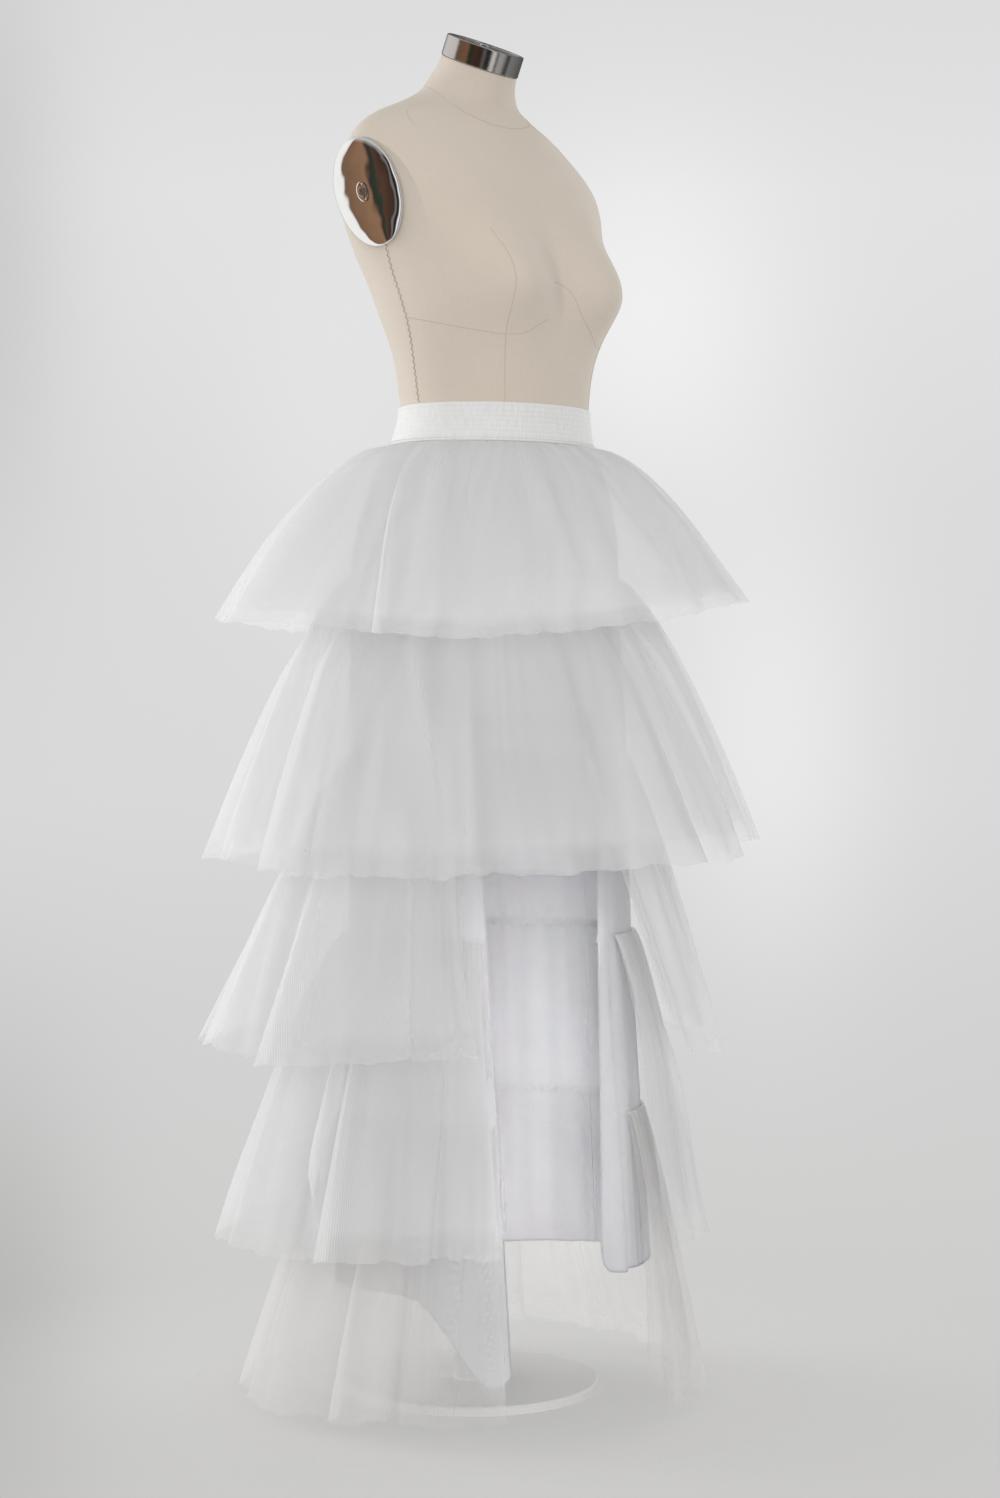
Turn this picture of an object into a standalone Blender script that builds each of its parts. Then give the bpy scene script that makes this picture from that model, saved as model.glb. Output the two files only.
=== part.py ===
"""Five-tier tulle skirt with a front slit, on a limbless dress form that stands on a round foot.

Metres, +Z up. The origin is on the floor under the middle of the waist. The front faces -Y and the
wearer's left is +X. Angles round the body are in degrees from the front towards the wearer's left.
"""

import math

import bmesh
import bpy
import numpy as np
from mathutils import Matrix, Vector

# Driving dimensions
WAIST_Z = 1.150
BAND_HEIGHT = 0.045
BAND_TOP_Z = 1.155
BAND_WALL = 0.0017
RIB_COUNT = 8
BAND_INNER_ROWS = 4
RIB_RISE = 0.0007
TULLE_WALL = 0.0022
LINING_WALL = 0.0015
# The lining's hem: its mean height and how much higher it is in front. The corner at the slit's
# right edge hangs lower: its angle, its width and how much lower it is
LINING_HEM_Z = 0.147
LINING_HEM_RISE = 0.013
LINING_CORNER = (-50.0, 18.0, 0.110)
SLIT_TOP_Z = 0.800
SEAM_GAP = 0.0003
CLOTH_CLEARANCE = 0.0005

# The body of the form, ring by ring: height above the waist, half width, depth in front and behind,
# how far back the ring's middle lies, squareness (2 is an ellipse), and forward tilt in degrees
FORM_RINGS = (
    # height, half_width, front, back, middle_y, squareness, tilt
    (-0.330, 0.118, 0.086, 0.088, 0.010, 2.2, 0.0),
    (-0.322, 0.140, 0.104, 0.106, 0.010, 2.2, 0.0),
    (-0.296, 0.157, 0.115, 0.119, 0.010, 2.2, 0.0),
    (-0.250, 0.168, 0.124, 0.130, 0.010, 2.2, 0.0),
    (-0.190, 0.171, 0.127, 0.133, 0.010, 2.2, 0.0),
    (-0.130, 0.164, 0.122, 0.126, 0.008, 2.2, 0.0),
    (-0.070, 0.147, 0.112, 0.113, 0.005, 2.1, 0.0),
    (-0.030, 0.131, 0.103, 0.104, 0.002, 2.0, 0.0),
    (0.000, 0.124, 0.100, 0.100, 0.000, 2.0, 0.0),
    (0.027, 0.127, 0.103, 0.098, 0.002, 2.0, 0.0),
    (0.070, 0.136, 0.108, 0.100, 0.005, 2.0, 0.0),
    (0.109, 0.146, 0.108, 0.106, 0.010, 2.1, 0.0),
    (0.149, 0.156, 0.107, 0.110, 0.015, 2.3, 0.0),
    (0.188, 0.172, 0.101, 0.112, 0.022, 2.4, 0.0),
    (0.220, 0.191, 0.097, 0.106, 0.028, 2.3, 0.0),
    (0.250, 0.201, 0.092, 0.098, 0.031, 2.2, 0.0),
    (0.280, 0.201, 0.084, 0.088, 0.036, 2.1, 0.0),
    (0.308, 0.189, 0.069, 0.072, 0.042, 2.0, 0.0),
    (0.326, 0.170, 0.060, 0.061, 0.046, 2.0, 0.0),
    (0.342, 0.142, 0.055, 0.056, 0.046, 2.0, 2.0),
    (0.357, 0.103, 0.052, 0.053, 0.043, 2.0, 8.0),
    (0.370, 0.072, 0.050, 0.051, 0.039, 2.0, 14.0),
    (0.385, 0.056, 0.049, 0.050, 0.034, 2.0, 20.0),
    (0.398, 0.049, 0.047, 0.047, 0.029, 2.0, 23.0),
    (0.4100, 0.0460, 0.0460, 0.0460, 0.0240, 2.0, 23.5),
)
FORM_SIDES = 40
# The rings of the form's mesh, as heights above the waist
FORM_LEVELS = (
    -0.330, -0.322, -0.296, -0.250, -0.190, -0.120, -0.070, -0.045, -0.032, -0.020, -0.008, 0.005,
    0.020, 0.045, 0.075, 0.100,
    0.122, 0.144, 0.166, 0.192, 0.220, 0.250, 0.280, 0.300, 0.315, 0.328, 0.342, 0.357, 0.370,
    0.385, 0.398, 0.410,
)
BUST_RISE = 0.040
BUST_HALF_SPACING = 0.085
BUST_HEIGHT = 0.138
BUST_SPREAD = 0.043
BUST_SPREAD_ABOVE = 0.052
BUST_SPREAD_BELOW = 0.034

# Arm plates: the middle and the axes of the wearer's right one, from its foot to its top and from
# its back to its front. The left one is its mirror image
PLATE_MIDDLE = Vector((-0.1834, 0.032, 1.3905))
PLATE_UP = Vector((-0.200, 0.217, 0.955)).normalized()
PLATE_FORWARD = Vector((0.217, -0.942, 0.258)).normalized()
PLATE_HALF_HEIGHT = 0.0625
PLATE_HALF_WIDTH = 0.0410
PLATE_DOME = 0.015
PLATE_EDGE = 0.003
PLATE_FLAT = 0.001
PLATE_RINGS = 5
PLATE_SIDES = 28
SCREW_RADIUS = 0.0055
SCREW_HEIGHT = 0.0022

CAP_RADIUS = 0.0470
CAP_HEIGHT = 0.025
CAP_RIM = 0.003
CAP_RECESS = 0.0015
CAP_BEVEL = 0.0012
CAP_STUD_RADIUS = 0.0075
CAP_STUD_HEIGHT = 0.003

STAND_Y = 0.035
BASE_RADIUS = 0.150
BASE_THICKNESS = 0.010
BASE_BEVEL = 0.0025
HUB_RADIUS = 0.022
HUB_HEIGHT = 0.028
POLE_RADIUS = 0.0125
FLANGE_RADIUS = 0.045
FLANGE_THICKNESS = 0.006
BOSS_RADIUS = 0.020
BOSS_HEIGHT = 0.035

# Down to the hips the lining lies over the form, at these heights and this ease
LINING_EASE = (
    # z, ease
    (1.155, 0.0018),
    (1.110, 0.0020),
    (1.090, 0.0024),
    (1.065, 0.0034),
    (1.040, 0.0040),
    (1.010, 0.0038),
    (0.970, 0.0036),
    (0.930, 0.0034),
)
# Below the hips it hangs, ring by ring: height, half width, half depth, how far back the middle lies
LINING_RINGS = (
    # z, half_width, half_depth, middle_y
    (0.860, 0.1810, 0.1450, 0.012),
    (0.800, 0.1815, 0.1475, 0.010),
    (0.544, 0.1830, 0.1550, 0.006),
    (0.338, 0.1870, 0.1660, 0.003),
    (0.130, 0.1930, 0.1790, 0.000),
)
LINING_HIP_LEVELS = (1.088, 1.064, 1.036, 1.000)
# Edges of the slit in the lining, in degrees at its top and at the hem
SLIT_RIGHT = (-56.0, -44.0)
SLIT_LEFT = (7.0, -5.0)
SLIT_COLUMNS = 8
FRONT_SIDE_COLUMNS = (7, 12)
BACK_COLUMNS = 18

# The tulle tiers. Radii and heights are of the hem: the mean, how much more it is at the back right,
# and how much more it is both there and opposite. spring is the power by which it springs outwards
# near its seam. Tiers with a slit run from start to end, given at the seam and at the hem
WIDE_SIDE = 225.0
TIERS = (
    dict(seam_z=1.1097, hem_r=(0.289, 0.018, 0.016), hem_z=(0.904, -0.011, 0.017), spring=0.58,
         folds=25, depth=0.0105, start=(0.0, 0.0), end=(360.0, 360.0)),
    dict(seam_z=0.957, hem_r=(0.311, 0.006, 0.008), hem_z=(0.634, -0.010, 0.006), spring=0.70,
         folds=27, depth=0.0120, start=(0.0, 0.0), end=(360.0, 360.0)),
    dict(seam_z=0.750, hem_r=(0.286, 0.038, 0.014), hem_z=(0.420, 0.000, -0.007), spring=0.82,
         folds=24, depth=0.0120, start=(-4.0, 6.0), end=(296.0, 305.0)),
    dict(seam_z=0.544, hem_r=(0.274, 0.040, 0.010), hem_z=(0.200, 0.000, -0.009), spring=0.74,
         folds=23, depth=0.0105, start=(14.0, 5.0), end=(306.5, 312.0)),
    dict(seam_z=0.338, hem_r=(0.269, 0.024, 0.003), hem_z=(0.021, 0.000, -0.006), spring=0.84,
         folds=22, depth=0.0090, start=(17.0, -2.0), end=(310.0, 313.0)),
)
COLUMNS_PER_FOLD = 4
TIER_DROPS = (0.0, 0.10, 0.42, 1.0)
SEAM_FOLD_SHARE = 0.10
# The largest folds: tier, angle, how far the cloth dips inwards at the hem, and half its width
LARGE_FOLDS = (
    # tier, angle, dip, half_width
    (1, 24.0, 0.030, 9.0),
    (1, 262.0, 0.016, 7.0),
    (1, 342.0, 0.014, 6.0),
    (0, 290.0, 0.012, 8.0),
    (2, 250.0, 0.018, 8.0),
    (3, 268.0, 0.018, 8.0),
    (4, 282.0, 0.014, 8.0),
)


def eased(table, height):
    """The columns of a table of rings at a height, on one smooth curve through its rows."""
    rows = np.array(sorted(table), float)
    heights, values = rows[:, 0], rows[:, 1:]
    slopes = np.gradient(values, heights, axis=0)
    height = min(max(height, heights[0]), heights[-1])
    i = min(max(int(np.searchsorted(heights, height, side="right")) - 1, 0), len(rows) - 2)
    span = heights[i + 1] - heights[i]
    t = (height - heights[i]) / span
    start, end = 2 * t**3 - 3 * t**2 + 1, 3 * t**2 - 2 * t**3
    leave, arrive = t**3 - 2 * t**2 + t, t**3 - t**2
    return (
        start * values[i] + end * values[i + 1]
        + span * (leave * slopes[i] + arrive * slopes[i + 1])
    )


def form_point(angle, height, out=0.0):
    """A point of the form's skin at an angle round it and a height above the waist."""
    half_width, front, back, middle, square, tilt = eased(FORM_RINGS, height)
    s, c = math.sin(math.radians(angle)), -math.cos(math.radians(angle))
    depth = front if c < 0 else back
    x = (half_width + out) * math.copysign(abs(s) ** (2 / square), s)
    y = (depth + out) * math.copysign(abs(c) ** (2 / square), c)
    above = height - BUST_HEIGHT
    spread = BUST_SPREAD_ABOVE if above > 0 else BUST_SPREAD_BELOW
    if y < 0:
        side = (abs(x) - BUST_HALF_SPACING) / BUST_SPREAD
        y -= BUST_RISE * math.exp(-0.5 * side**2 - 0.5 * (above / spread) ** 2) * min(1, -y / 0.04)
    lean = math.radians(tilt)
    return Vector((x, middle + y * math.cos(lean), WAIST_Z + height + y * math.sin(lean)))


def lining_radius(angle, z):
    """(the lining's outer radius, its middle's y) at an angle and a height."""
    half_width, half_depth, middle = eased(LINING_TABLE, z)
    s, c = math.sin(math.radians(angle)), math.cos(math.radians(angle))
    return 1 / math.hypot(s / half_width, c / half_depth), middle


def lining_point(angle, z, out=0.0):
    """A point of the lining. Its hem rises a little in front and hangs low at one slit corner."""
    a = math.radians(angle)
    if z == LINING_HEM_Z:
        at, wide, drop = LINING_CORNER
        z += LINING_HEM_RISE * math.cos(a) - drop * math.exp(-(((angle - at) / wide) ** 2))
    radius, middle = lining_radius(angle, z)
    return Vector(((radius + out) * math.sin(a), middle - (radius + out) * math.cos(a), z))


def lining_table():
    """The lining's rings, the top ones just wide enough for the form's squarer rings."""
    top = []
    for z, ease in LINING_EASE:
        half_width, front, back, middle, square, _ = eased(FORM_RINGS, z - WAIST_Z)
        wider = 2 ** (1 / 2 - 1 / square)
        out = ease + LINING_WALL
        half_depth = (front + back) / 2 * wider + out
        top.append((z, half_width * wider + out, half_depth, middle + (back - front) / 2))
    return tuple(top) + LINING_RINGS


def wall(name, outer, inner, material, closed=False, keep=None):
    """One closed solid between two grids of points, with a rim wherever a face has no neighbour."""
    rows, columns = len(outer), len(outer[0])
    spans = columns if closed else columns - 1
    mesh = bmesh.new()
    skins = [[[mesh.verts.new(p) for p in row] for row in grid] for grid in (outer, inner)]
    used = {}
    for i in range(rows - 1):
        for j in range(spans):
            if keep is not None and not keep(i, j):
                continue
            k = (j + 1) % columns
            corners = ((i, j), (i + 1, j), (i + 1, k), (i, k))
            for half in (corners[:3], corners[:1] + corners[2:]):
                mesh.faces.new([skins[0][r][c] for r, c in half])
                mesh.faces.new([skins[1][r][c] for r, c in reversed(half)])
            for a, b in zip(corners, corners[1:] + corners[:1]):
                used[(a, b)] = True
    for a, b in used:
        if (b, a) not in used:
            (ra, ca), (rb, cb) = a, b
            rim = (skins[0][rb][cb], skins[0][ra][ca], skins[1][ra][ca], skins[1][rb][cb])
            mesh.faces.new(rim)
    loose = [v for v in mesh.verts if not v.link_faces]
    bmesh.ops.delete(mesh, geom=loose, context="VERTS")
    return finish(name, mesh, material)


def lofted(name, rings, material):
    """One closed solid through rings of points, its first and last ring closed by flat caps."""
    mesh = bmesh.new()
    loops = [[mesh.verts.new(p) for p in ring] for ring in rings]
    sides = len(loops[0])
    for low, high in zip(loops, loops[1:]):
        for j in range(sides):
            k = (j + 1) % sides
            mesh.faces.new((low[j], low[k], high[k], high[j]))
    mesh.faces.new(list(reversed(loops[0])))
    mesh.faces.new(loops[-1])
    return finish(name, mesh, material)


def turned(name, profile, sides, material, place=None):
    """One closed solid turned round Z from a profile of (radius, height), top first at the axis."""
    mesh = bmesh.new()
    rings = []
    for radius, height in profile:
        if radius == 0:
            rings.append([mesh.verts.new((0, 0, height))])
            continue
        turns = (2 * math.pi * k / sides for k in range(sides))
        rings.append(
            [mesh.verts.new((radius * math.cos(t), radius * math.sin(t), height)) for t in turns]
        )
    for first, second in zip(rings, rings[1:]):
        for j in range(sides):
            k = (j + 1) % sides
            if len(first) == 1:
                mesh.faces.new((first[0], second[j], second[k]))
            elif len(second) == 1:
                mesh.faces.new((first[j], second[0], first[k]))
            else:
                mesh.faces.new((first[j], second[j], second[k], first[k]))
    if place is not None:
        bmesh.ops.transform(mesh, matrix=place, verts=mesh.verts)
    return finish(name, mesh, material)


def finish(name, mesh, material):
    """Turns a bmesh into a smooth-shaded object with its faces pointing out."""
    bmesh.ops.recalc_face_normals(mesh, faces=mesh.faces)
    data = bpy.data.meshes.new(name)
    mesh.to_mesh(data)
    mesh.free()
    data.shade_smooth()
    data.set_sharp_from_angle(angle=math.radians(40))
    data.materials.append(material)
    obj = bpy.data.objects.new(name, data)
    bpy.context.scene.collection.objects.link(obj)
    return obj


def finish_of(name, colour, roughness, metallic=0.0):
    material = bpy.data.materials.new(name)
    material.use_nodes = True
    shader = material.node_tree.nodes["Principled BSDF"]
    shader.inputs["Base Color"].default_value = (*colour, 1)
    shader.inputs["Roughness"].default_value = roughness
    shader.inputs["Metallic"].default_value = metallic
    return material


def moved_in(outer, thickness, closed):
    """The grid of points one wall thickness inside another grid, along its normals."""
    grid = np.array([[tuple(p) for p in row] for row in outer])
    down = np.gradient(grid, axis=0)
    if closed:
        round_it = (np.roll(grid, -1, axis=1) - np.roll(grid, 1, axis=1)) / 2
    else:
        round_it = np.gradient(grid, axis=1)
    normal = np.cross(down, round_it)
    normal /= np.linalg.norm(normal, axis=2, keepdims=True)
    away = grid[:, :, :2] - grid[:, :, :2].mean(axis=1, keepdims=True)
    if (normal[:, :, :2] * away).sum() < 0:
        normal = -normal
    return [[Vector(p) for p in row] for row in grid - thickness * normal]


def swing(angle, mean, more, both):
    """A size that is larger towards the wide side of the skirt, and also opposite it."""
    a = math.radians(angle - WIDE_SIDE)
    return mean + more * math.cos(a) + both * math.cos(2 * a)


def tier_angle(number, turn, drop):
    """The angle of a place on a tier, counted in folds from its start. Folds are uneven in width."""
    tier = TIERS[number]
    folds = tier["folds"]
    a = 2 * math.pi * turn / folds
    uneven = 0.36 * (math.sin(3 * a + number) - math.sin(number))
    uneven += 0.15 * (math.sin(7 * a + 2 * number) - math.sin(2 * number))
    start, end = (low + (high - low) * drop for low, high in (tier["start"], tier["end"]))
    return start + (end - start) * (turn + uneven) / folds


def tier_point(number, turn, drop):
    """The outer surface of a tier, so many folds from its start and a share of the way down."""
    tier = TIERS[number]
    angle = tier_angle(number, turn, drop)
    a = math.radians(angle)
    seam, middle = lining_radius(angle, tier["seam_z"])
    deep = 1 + 0.28 * math.sin(5 * a + 1.7 * number) + 0.18 * math.sin(11 * a + 0.6 * number)
    fold = tier["depth"] * deep
    seam += CLOTH_CLEARANCE + TULLE_WALL + SEAM_FOLD_SHARE * fold
    dip = sum(
        depth * math.exp(-0.5 * ((angle - at) / wide) ** 2)
        for which, at, depth, wide in LARGE_FOLDS
        if which == number
    )
    hem = swing(angle, *tier["hem_r"]) - dip
    fold *= SEAM_FOLD_SHARE + (1 - SEAM_FOLD_SHARE) * drop
    wave = math.cos(2 * math.pi * turn)
    radius = seam + (hem - seam) * drop ** tier["spring"] + fold * wave
    hem_z = swing(angle, *tier["hem_z"])
    z = tier["seam_z"] + (hem_z - tier["seam_z"]) * drop
    shift = middle * (1 - drop)
    return Vector((radius * math.sin(a), shift - radius * math.cos(a), z))


def make_tier(number, material):
    tier = TIERS[number]
    closed = tier["end"][0] - tier["start"][0] == 360
    columns = tier["folds"] * COLUMNS_PER_FOLD + (0 if closed else 1)
    turns = [k / COLUMNS_PER_FOLD for k in range(columns)]
    outer = [[tier_point(number, turn, drop) for turn in turns] for drop in TIER_DROPS]
    inner = moved_in(outer, TULLE_WALL, closed)
    wall(f"tulle_tier_{number + 1}", outer, inner, material, closed)


def lining_levels():
    """The lining's rows from its seam at the band down to its hem, one at each tier's seam."""
    top = BAND_TOP_Z - BAND_HEIGHT - SEAM_GAP
    seams = [tier["seam_z"] for tier in TIERS[1:]]
    levels = {top, *LINING_HIP_LEVELS, SLIT_TOP_Z, *seams, LINING_HEM_Z}
    return sorted(levels, reverse=True)


def make_lining_back(material):
    edge = math.degrees(SEAM_GAP / 2 / 0.150)
    angles = np.linspace(90 + edge, 270 - edge, BACK_COLUMNS + 1)
    outer = [[lining_point(a, z) for a in angles] for z in lining_levels()]
    inner = [[lining_point(a, z, -LINING_WALL) for a in angles] for z in lining_levels()]
    wall("lining_back", outer, inner, material)


def make_lining_front(material):
    edge = math.degrees(SEAM_GAP / 2 / 0.150)
    right, left = FRONT_SIDE_COLUMNS
    levels = lining_levels()

    def angles_at(z):
        down = (SLIT_TOP_Z - min(z, SLIT_TOP_Z)) / (SLIT_TOP_Z - LINING_HEM_Z)
        slit = [a + (b - a) * down for a, b in (SLIT_RIGHT, SLIT_LEFT)]
        return [
            *np.linspace(-90 + edge, slit[0], right, endpoint=False),
            *np.linspace(slit[0], slit[1], SLIT_COLUMNS, endpoint=False),
            *np.linspace(slit[1], 90 - edge, left + 1),
        ]

    def not_in_slit(row, column):
        return row < levels.index(SLIT_TOP_Z) or not right <= column < right + SLIT_COLUMNS

    outer = [[lining_point(a, z) for a in angles_at(z)] for z in levels]
    inner = [[lining_point(a, z, -LINING_WALL) for a in angles_at(z)] for z in levels]
    wall("lining_front", outer, inner, material, keep=not_in_slit)


def make_waistband(material):
    """A ribbed elastic band: the ribs are in its outer points, over a plain inside."""
    rows = 2 * RIB_COUNT
    angles = np.linspace(0, 360, FORM_SIDES, endpoint=False)
    top = BAND_TOP_Z - WAIST_Z
    outside = [(top - BAND_HEIGHT * k / rows, BAND_WALL + RIB_RISE * (k % 2)) for k in range(rows + 1)]
    inside = [(top - BAND_HEIGHT * k / BAND_INNER_ROWS, 0.0) for k in range(BAND_INNER_ROWS, -1, -1)]
    sections = [
        [form_point(a, height, CLOTH_CLEARANCE + out) for height, out in outside + inside]
        for a in angles
    ]
    mesh = bmesh.new()
    loops = [[mesh.verts.new(p) for p in section] for section in sections]
    for first, second in zip(loops, loops[1:] + loops[:1]):
        for j in range(len(first)):
            k = (j + 1) % len(first)
            mesh.faces.new((first[j], second[j], second[k], first[k]))
    finish("waistband", mesh, material)


def make_form(material):
    """The torso, with a flat where each arm plate is screwed on."""
    angles = np.linspace(0, 360, FORM_SIDES, endpoint=False)
    torso = lofted(
        "form_torso", [[form_point(a, h) for a in angles] for h in FORM_LEVELS], material
    )
    mesh = bmesh.new()
    mesh.from_mesh(torso.data)
    for side in (1, -1):
        cut = bmesh.ops.bisect_plane(
            mesh,
            geom=[*mesh.verts, *mesh.edges, *mesh.faces],
            plane_co=mirrored(PLATE_MIDDLE, side),
            plane_no=mirrored(plate_normal(), side),
            clear_outer=True,
        )
        rim = [e for e in cut["geom_cut"] if isinstance(e, bmesh.types.BMEdge)]
        bmesh.ops.contextual_create(mesh, geom=rim)
    bmesh.ops.recalc_face_normals(mesh, faces=mesh.faces)
    mesh.to_mesh(torso.data)
    mesh.free()
    torso.data.shade_smooth()
    torso.data.set_sharp_from_angle(angle=math.radians(40))


def plate_normal():
    """Outwards from the wearer's right shoulder."""
    return -PLATE_UP.cross(PLATE_FORWARD).normalized()


def mirrored(vector, side):
    return Vector((vector.x * side, vector.y, vector.z))


def plate_place(side, out):
    """A matrix from a flat disc's own axes to a shoulder, out from its flat by a distance."""
    normal, up = mirrored(plate_normal(), side), mirrored(PLATE_UP, side)
    place = Matrix((up, normal.cross(up), normal)).transposed().to_4x4()
    place.translation = mirrored(PLATE_MIDDLE, side) + out * normal
    return place


def make_arm_plate(word, side, chrome, steel):
    """An oval domed plate over the arm's stump, and the screw in its middle."""
    flat = SCREW_RADIUS + PLATE_FLAT
    profile = [(0, PLATE_DOME), (flat, PLATE_DOME)]
    for k in range(1, PLATE_RINGS + 1):
        turn = k / PLATE_RINGS * math.pi / 2
        radius = flat + (PLATE_HALF_WIDTH - flat) * math.sin(turn)
        rise = (PLATE_DOME - PLATE_EDGE) * max(math.cos(turn), 0) ** 0.75
        profile.append((radius, PLATE_EDGE + rise))
    profile += [(PLATE_HALF_WIDTH, 0), (0, 0)]
    stretch = Matrix.Diagonal((PLATE_HALF_HEIGHT / PLATE_HALF_WIDTH, 1, 1, 1))
    place = plate_place(side, SEAM_GAP)
    turned(f"arm_plate_{word}", profile, PLATE_SIDES, chrome, place @ stretch)
    socket, floor = SCREW_RADIUS * 0.45, SCREW_HEIGHT * 0.4
    screw = [
        (0, floor), (socket, floor), (socket, SCREW_HEIGHT), (SCREW_RADIUS * 0.8, SCREW_HEIGHT),
        (SCREW_RADIUS, SCREW_HEIGHT * 0.6), (SCREW_RADIUS, 0), (0, 0),
    ]
    seat = plate_place(side, PLATE_DOME + 2 * SEAM_GAP)
    turned(f"arm_screw_{word}", screw, 12, steel, seat)


def make_neck_cap(steel):
    """A flat metal cap on the neck's slanting top, with a rim round a shallow recess."""
    radius, height, inner = CAP_RADIUS, CAP_HEIGHT, CAP_RADIUS - CAP_RIM
    top = height - CAP_RECESS
    stud_top = top + CAP_STUD_HEIGHT
    profile = [
        (0, stud_top), (CAP_STUD_RADIUS - CAP_BEVEL, stud_top),
        (CAP_STUD_RADIUS, stud_top - CAP_BEVEL), (CAP_STUD_RADIUS, top), (inner, top),
        (inner, height), (radius - CAP_BEVEL, height), (radius, height - CAP_BEVEL),
        (radius, CAP_BEVEL), (radius - CAP_BEVEL, 0), (0, 0),
    ]
    _, _, _, middle, _, tilt = eased(FORM_RINGS, FORM_LEVELS[-1])
    place = Matrix.Rotation(math.radians(tilt), 4, "X")
    axis = place @ Vector((0, 0, 1))
    place.translation = Vector((0, middle, WAIST_Z + FORM_LEVELS[-1])) + SEAM_GAP * axis
    turned("neck_cap", profile, 36, steel, place)


def make_stand(paint):
    """A round foot with a hub, a straight pole, and the flange that carries the form."""
    hub_top, plate_top = BASE_THICKNESS + HUB_HEIGHT, BASE_THICKNESS
    foot = [
        (0, hub_top), (HUB_RADIUS - BASE_BEVEL, hub_top), (HUB_RADIUS, hub_top - BASE_BEVEL),
        (HUB_RADIUS, plate_top + BASE_BEVEL), (HUB_RADIUS + BASE_BEVEL, plate_top),
        (BASE_RADIUS - BASE_BEVEL, plate_top), (BASE_RADIUS, plate_top - BASE_BEVEL),
        (BASE_RADIUS, 0), (0, 0),
    ]
    at_stand = Matrix.Translation((0, STAND_Y, 0))
    turned("stand_foot", foot, 40, paint, at_stand)
    form_foot = WAIST_Z + FORM_LEVELS[0]
    flange_top = form_foot - SEAM_GAP
    boss_foot = flange_top - FLANGE_THICKNESS - BOSS_HEIGHT
    flange = [
        (0, flange_top), (FLANGE_RADIUS, flange_top),
        (FLANGE_RADIUS, flange_top - FLANGE_THICKNESS),
        (BOSS_RADIUS, flange_top - FLANGE_THICKNESS), (BOSS_RADIUS, boss_foot), (0, boss_foot),
    ]
    turned("stand_flange", flange, 24, paint, at_stand)
    pole_top, pole_foot = boss_foot - SEAM_GAP, hub_top + SEAM_GAP
    pole = [(0, pole_top), (POLE_RADIUS, pole_top), (POLE_RADIUS, pole_foot), (0, pole_foot)]
    turned("stand_pole", pole, 24, paint, at_stand)


for old in list(bpy.data.objects):
    bpy.data.objects.remove(old)

LINING_TABLE = lining_table()

tulle = finish_of("white_tulle", (0.86, 0.86, 0.88), 0.85)
satin = finish_of("white_lining", (0.80, 0.80, 0.86), 0.45)
elastic = finish_of("white_elastic", (0.84, 0.84, 0.82), 0.75)
linen = finish_of("cream_linen", (0.70, 0.61, 0.50), 0.80)
steel_finish = finish_of("brushed_steel", (0.56, 0.54, 0.52), 0.28, 1.0)
chrome_finish = finish_of("polished_chrome", (0.80, 0.80, 0.80), 0.05, 1.0)
white_paint = finish_of("white_paint", (0.80, 0.80, 0.79), 0.40)

make_form(linen)
for side_word, side_sign in (("right", 1), ("left", -1)):
    make_arm_plate(side_word, side_sign, chrome_finish, steel_finish)
make_neck_cap(steel_finish)
make_stand(white_paint)
make_waistband(elastic)
make_lining_front(satin)
make_lining_back(satin)
for tier_number in range(len(TIERS)):
    make_tier(tier_number, tulle)
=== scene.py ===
"""Looks of the tiered tulle skirt on its dress form: tulle, lining, elastic, linen, metal and light.

Metres, +Z up, the front faces -Y. Angles round the body run from the front towards the wearer's left.
"""

import contextlib
import math
from collections import namedtuple

import bmesh
import bpy
import numpy as np
from mathutils import Matrix, Vector


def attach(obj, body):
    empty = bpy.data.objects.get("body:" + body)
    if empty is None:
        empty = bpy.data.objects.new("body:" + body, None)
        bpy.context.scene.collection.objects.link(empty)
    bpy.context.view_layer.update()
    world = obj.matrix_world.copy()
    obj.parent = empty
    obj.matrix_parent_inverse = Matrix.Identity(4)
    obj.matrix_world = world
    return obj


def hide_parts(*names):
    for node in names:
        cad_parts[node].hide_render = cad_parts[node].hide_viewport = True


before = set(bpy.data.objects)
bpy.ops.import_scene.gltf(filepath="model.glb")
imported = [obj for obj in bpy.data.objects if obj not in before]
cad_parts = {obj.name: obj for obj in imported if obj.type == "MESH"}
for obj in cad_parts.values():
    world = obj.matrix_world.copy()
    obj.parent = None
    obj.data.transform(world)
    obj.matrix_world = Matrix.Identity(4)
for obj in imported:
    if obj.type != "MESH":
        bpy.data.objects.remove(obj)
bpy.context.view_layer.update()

# Sizes shared with the solids
WAIST_Z = 1.150
BAND_TOP_Z = 1.155
BAND_HEIGHT = 0.045
RIB_COUNT = 8
BAND_CUT = (0.73, 0.046)
SLIT_TOP_Z = 0.800
LINING_HEM_Z = 0.147
LINING_HEM_RISE = 0.013
LINING_CORNER = (-50.0, 18.0, 0.110)
LINING_WALL = 0.0015
SEAM_GAP = 0.0003

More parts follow.
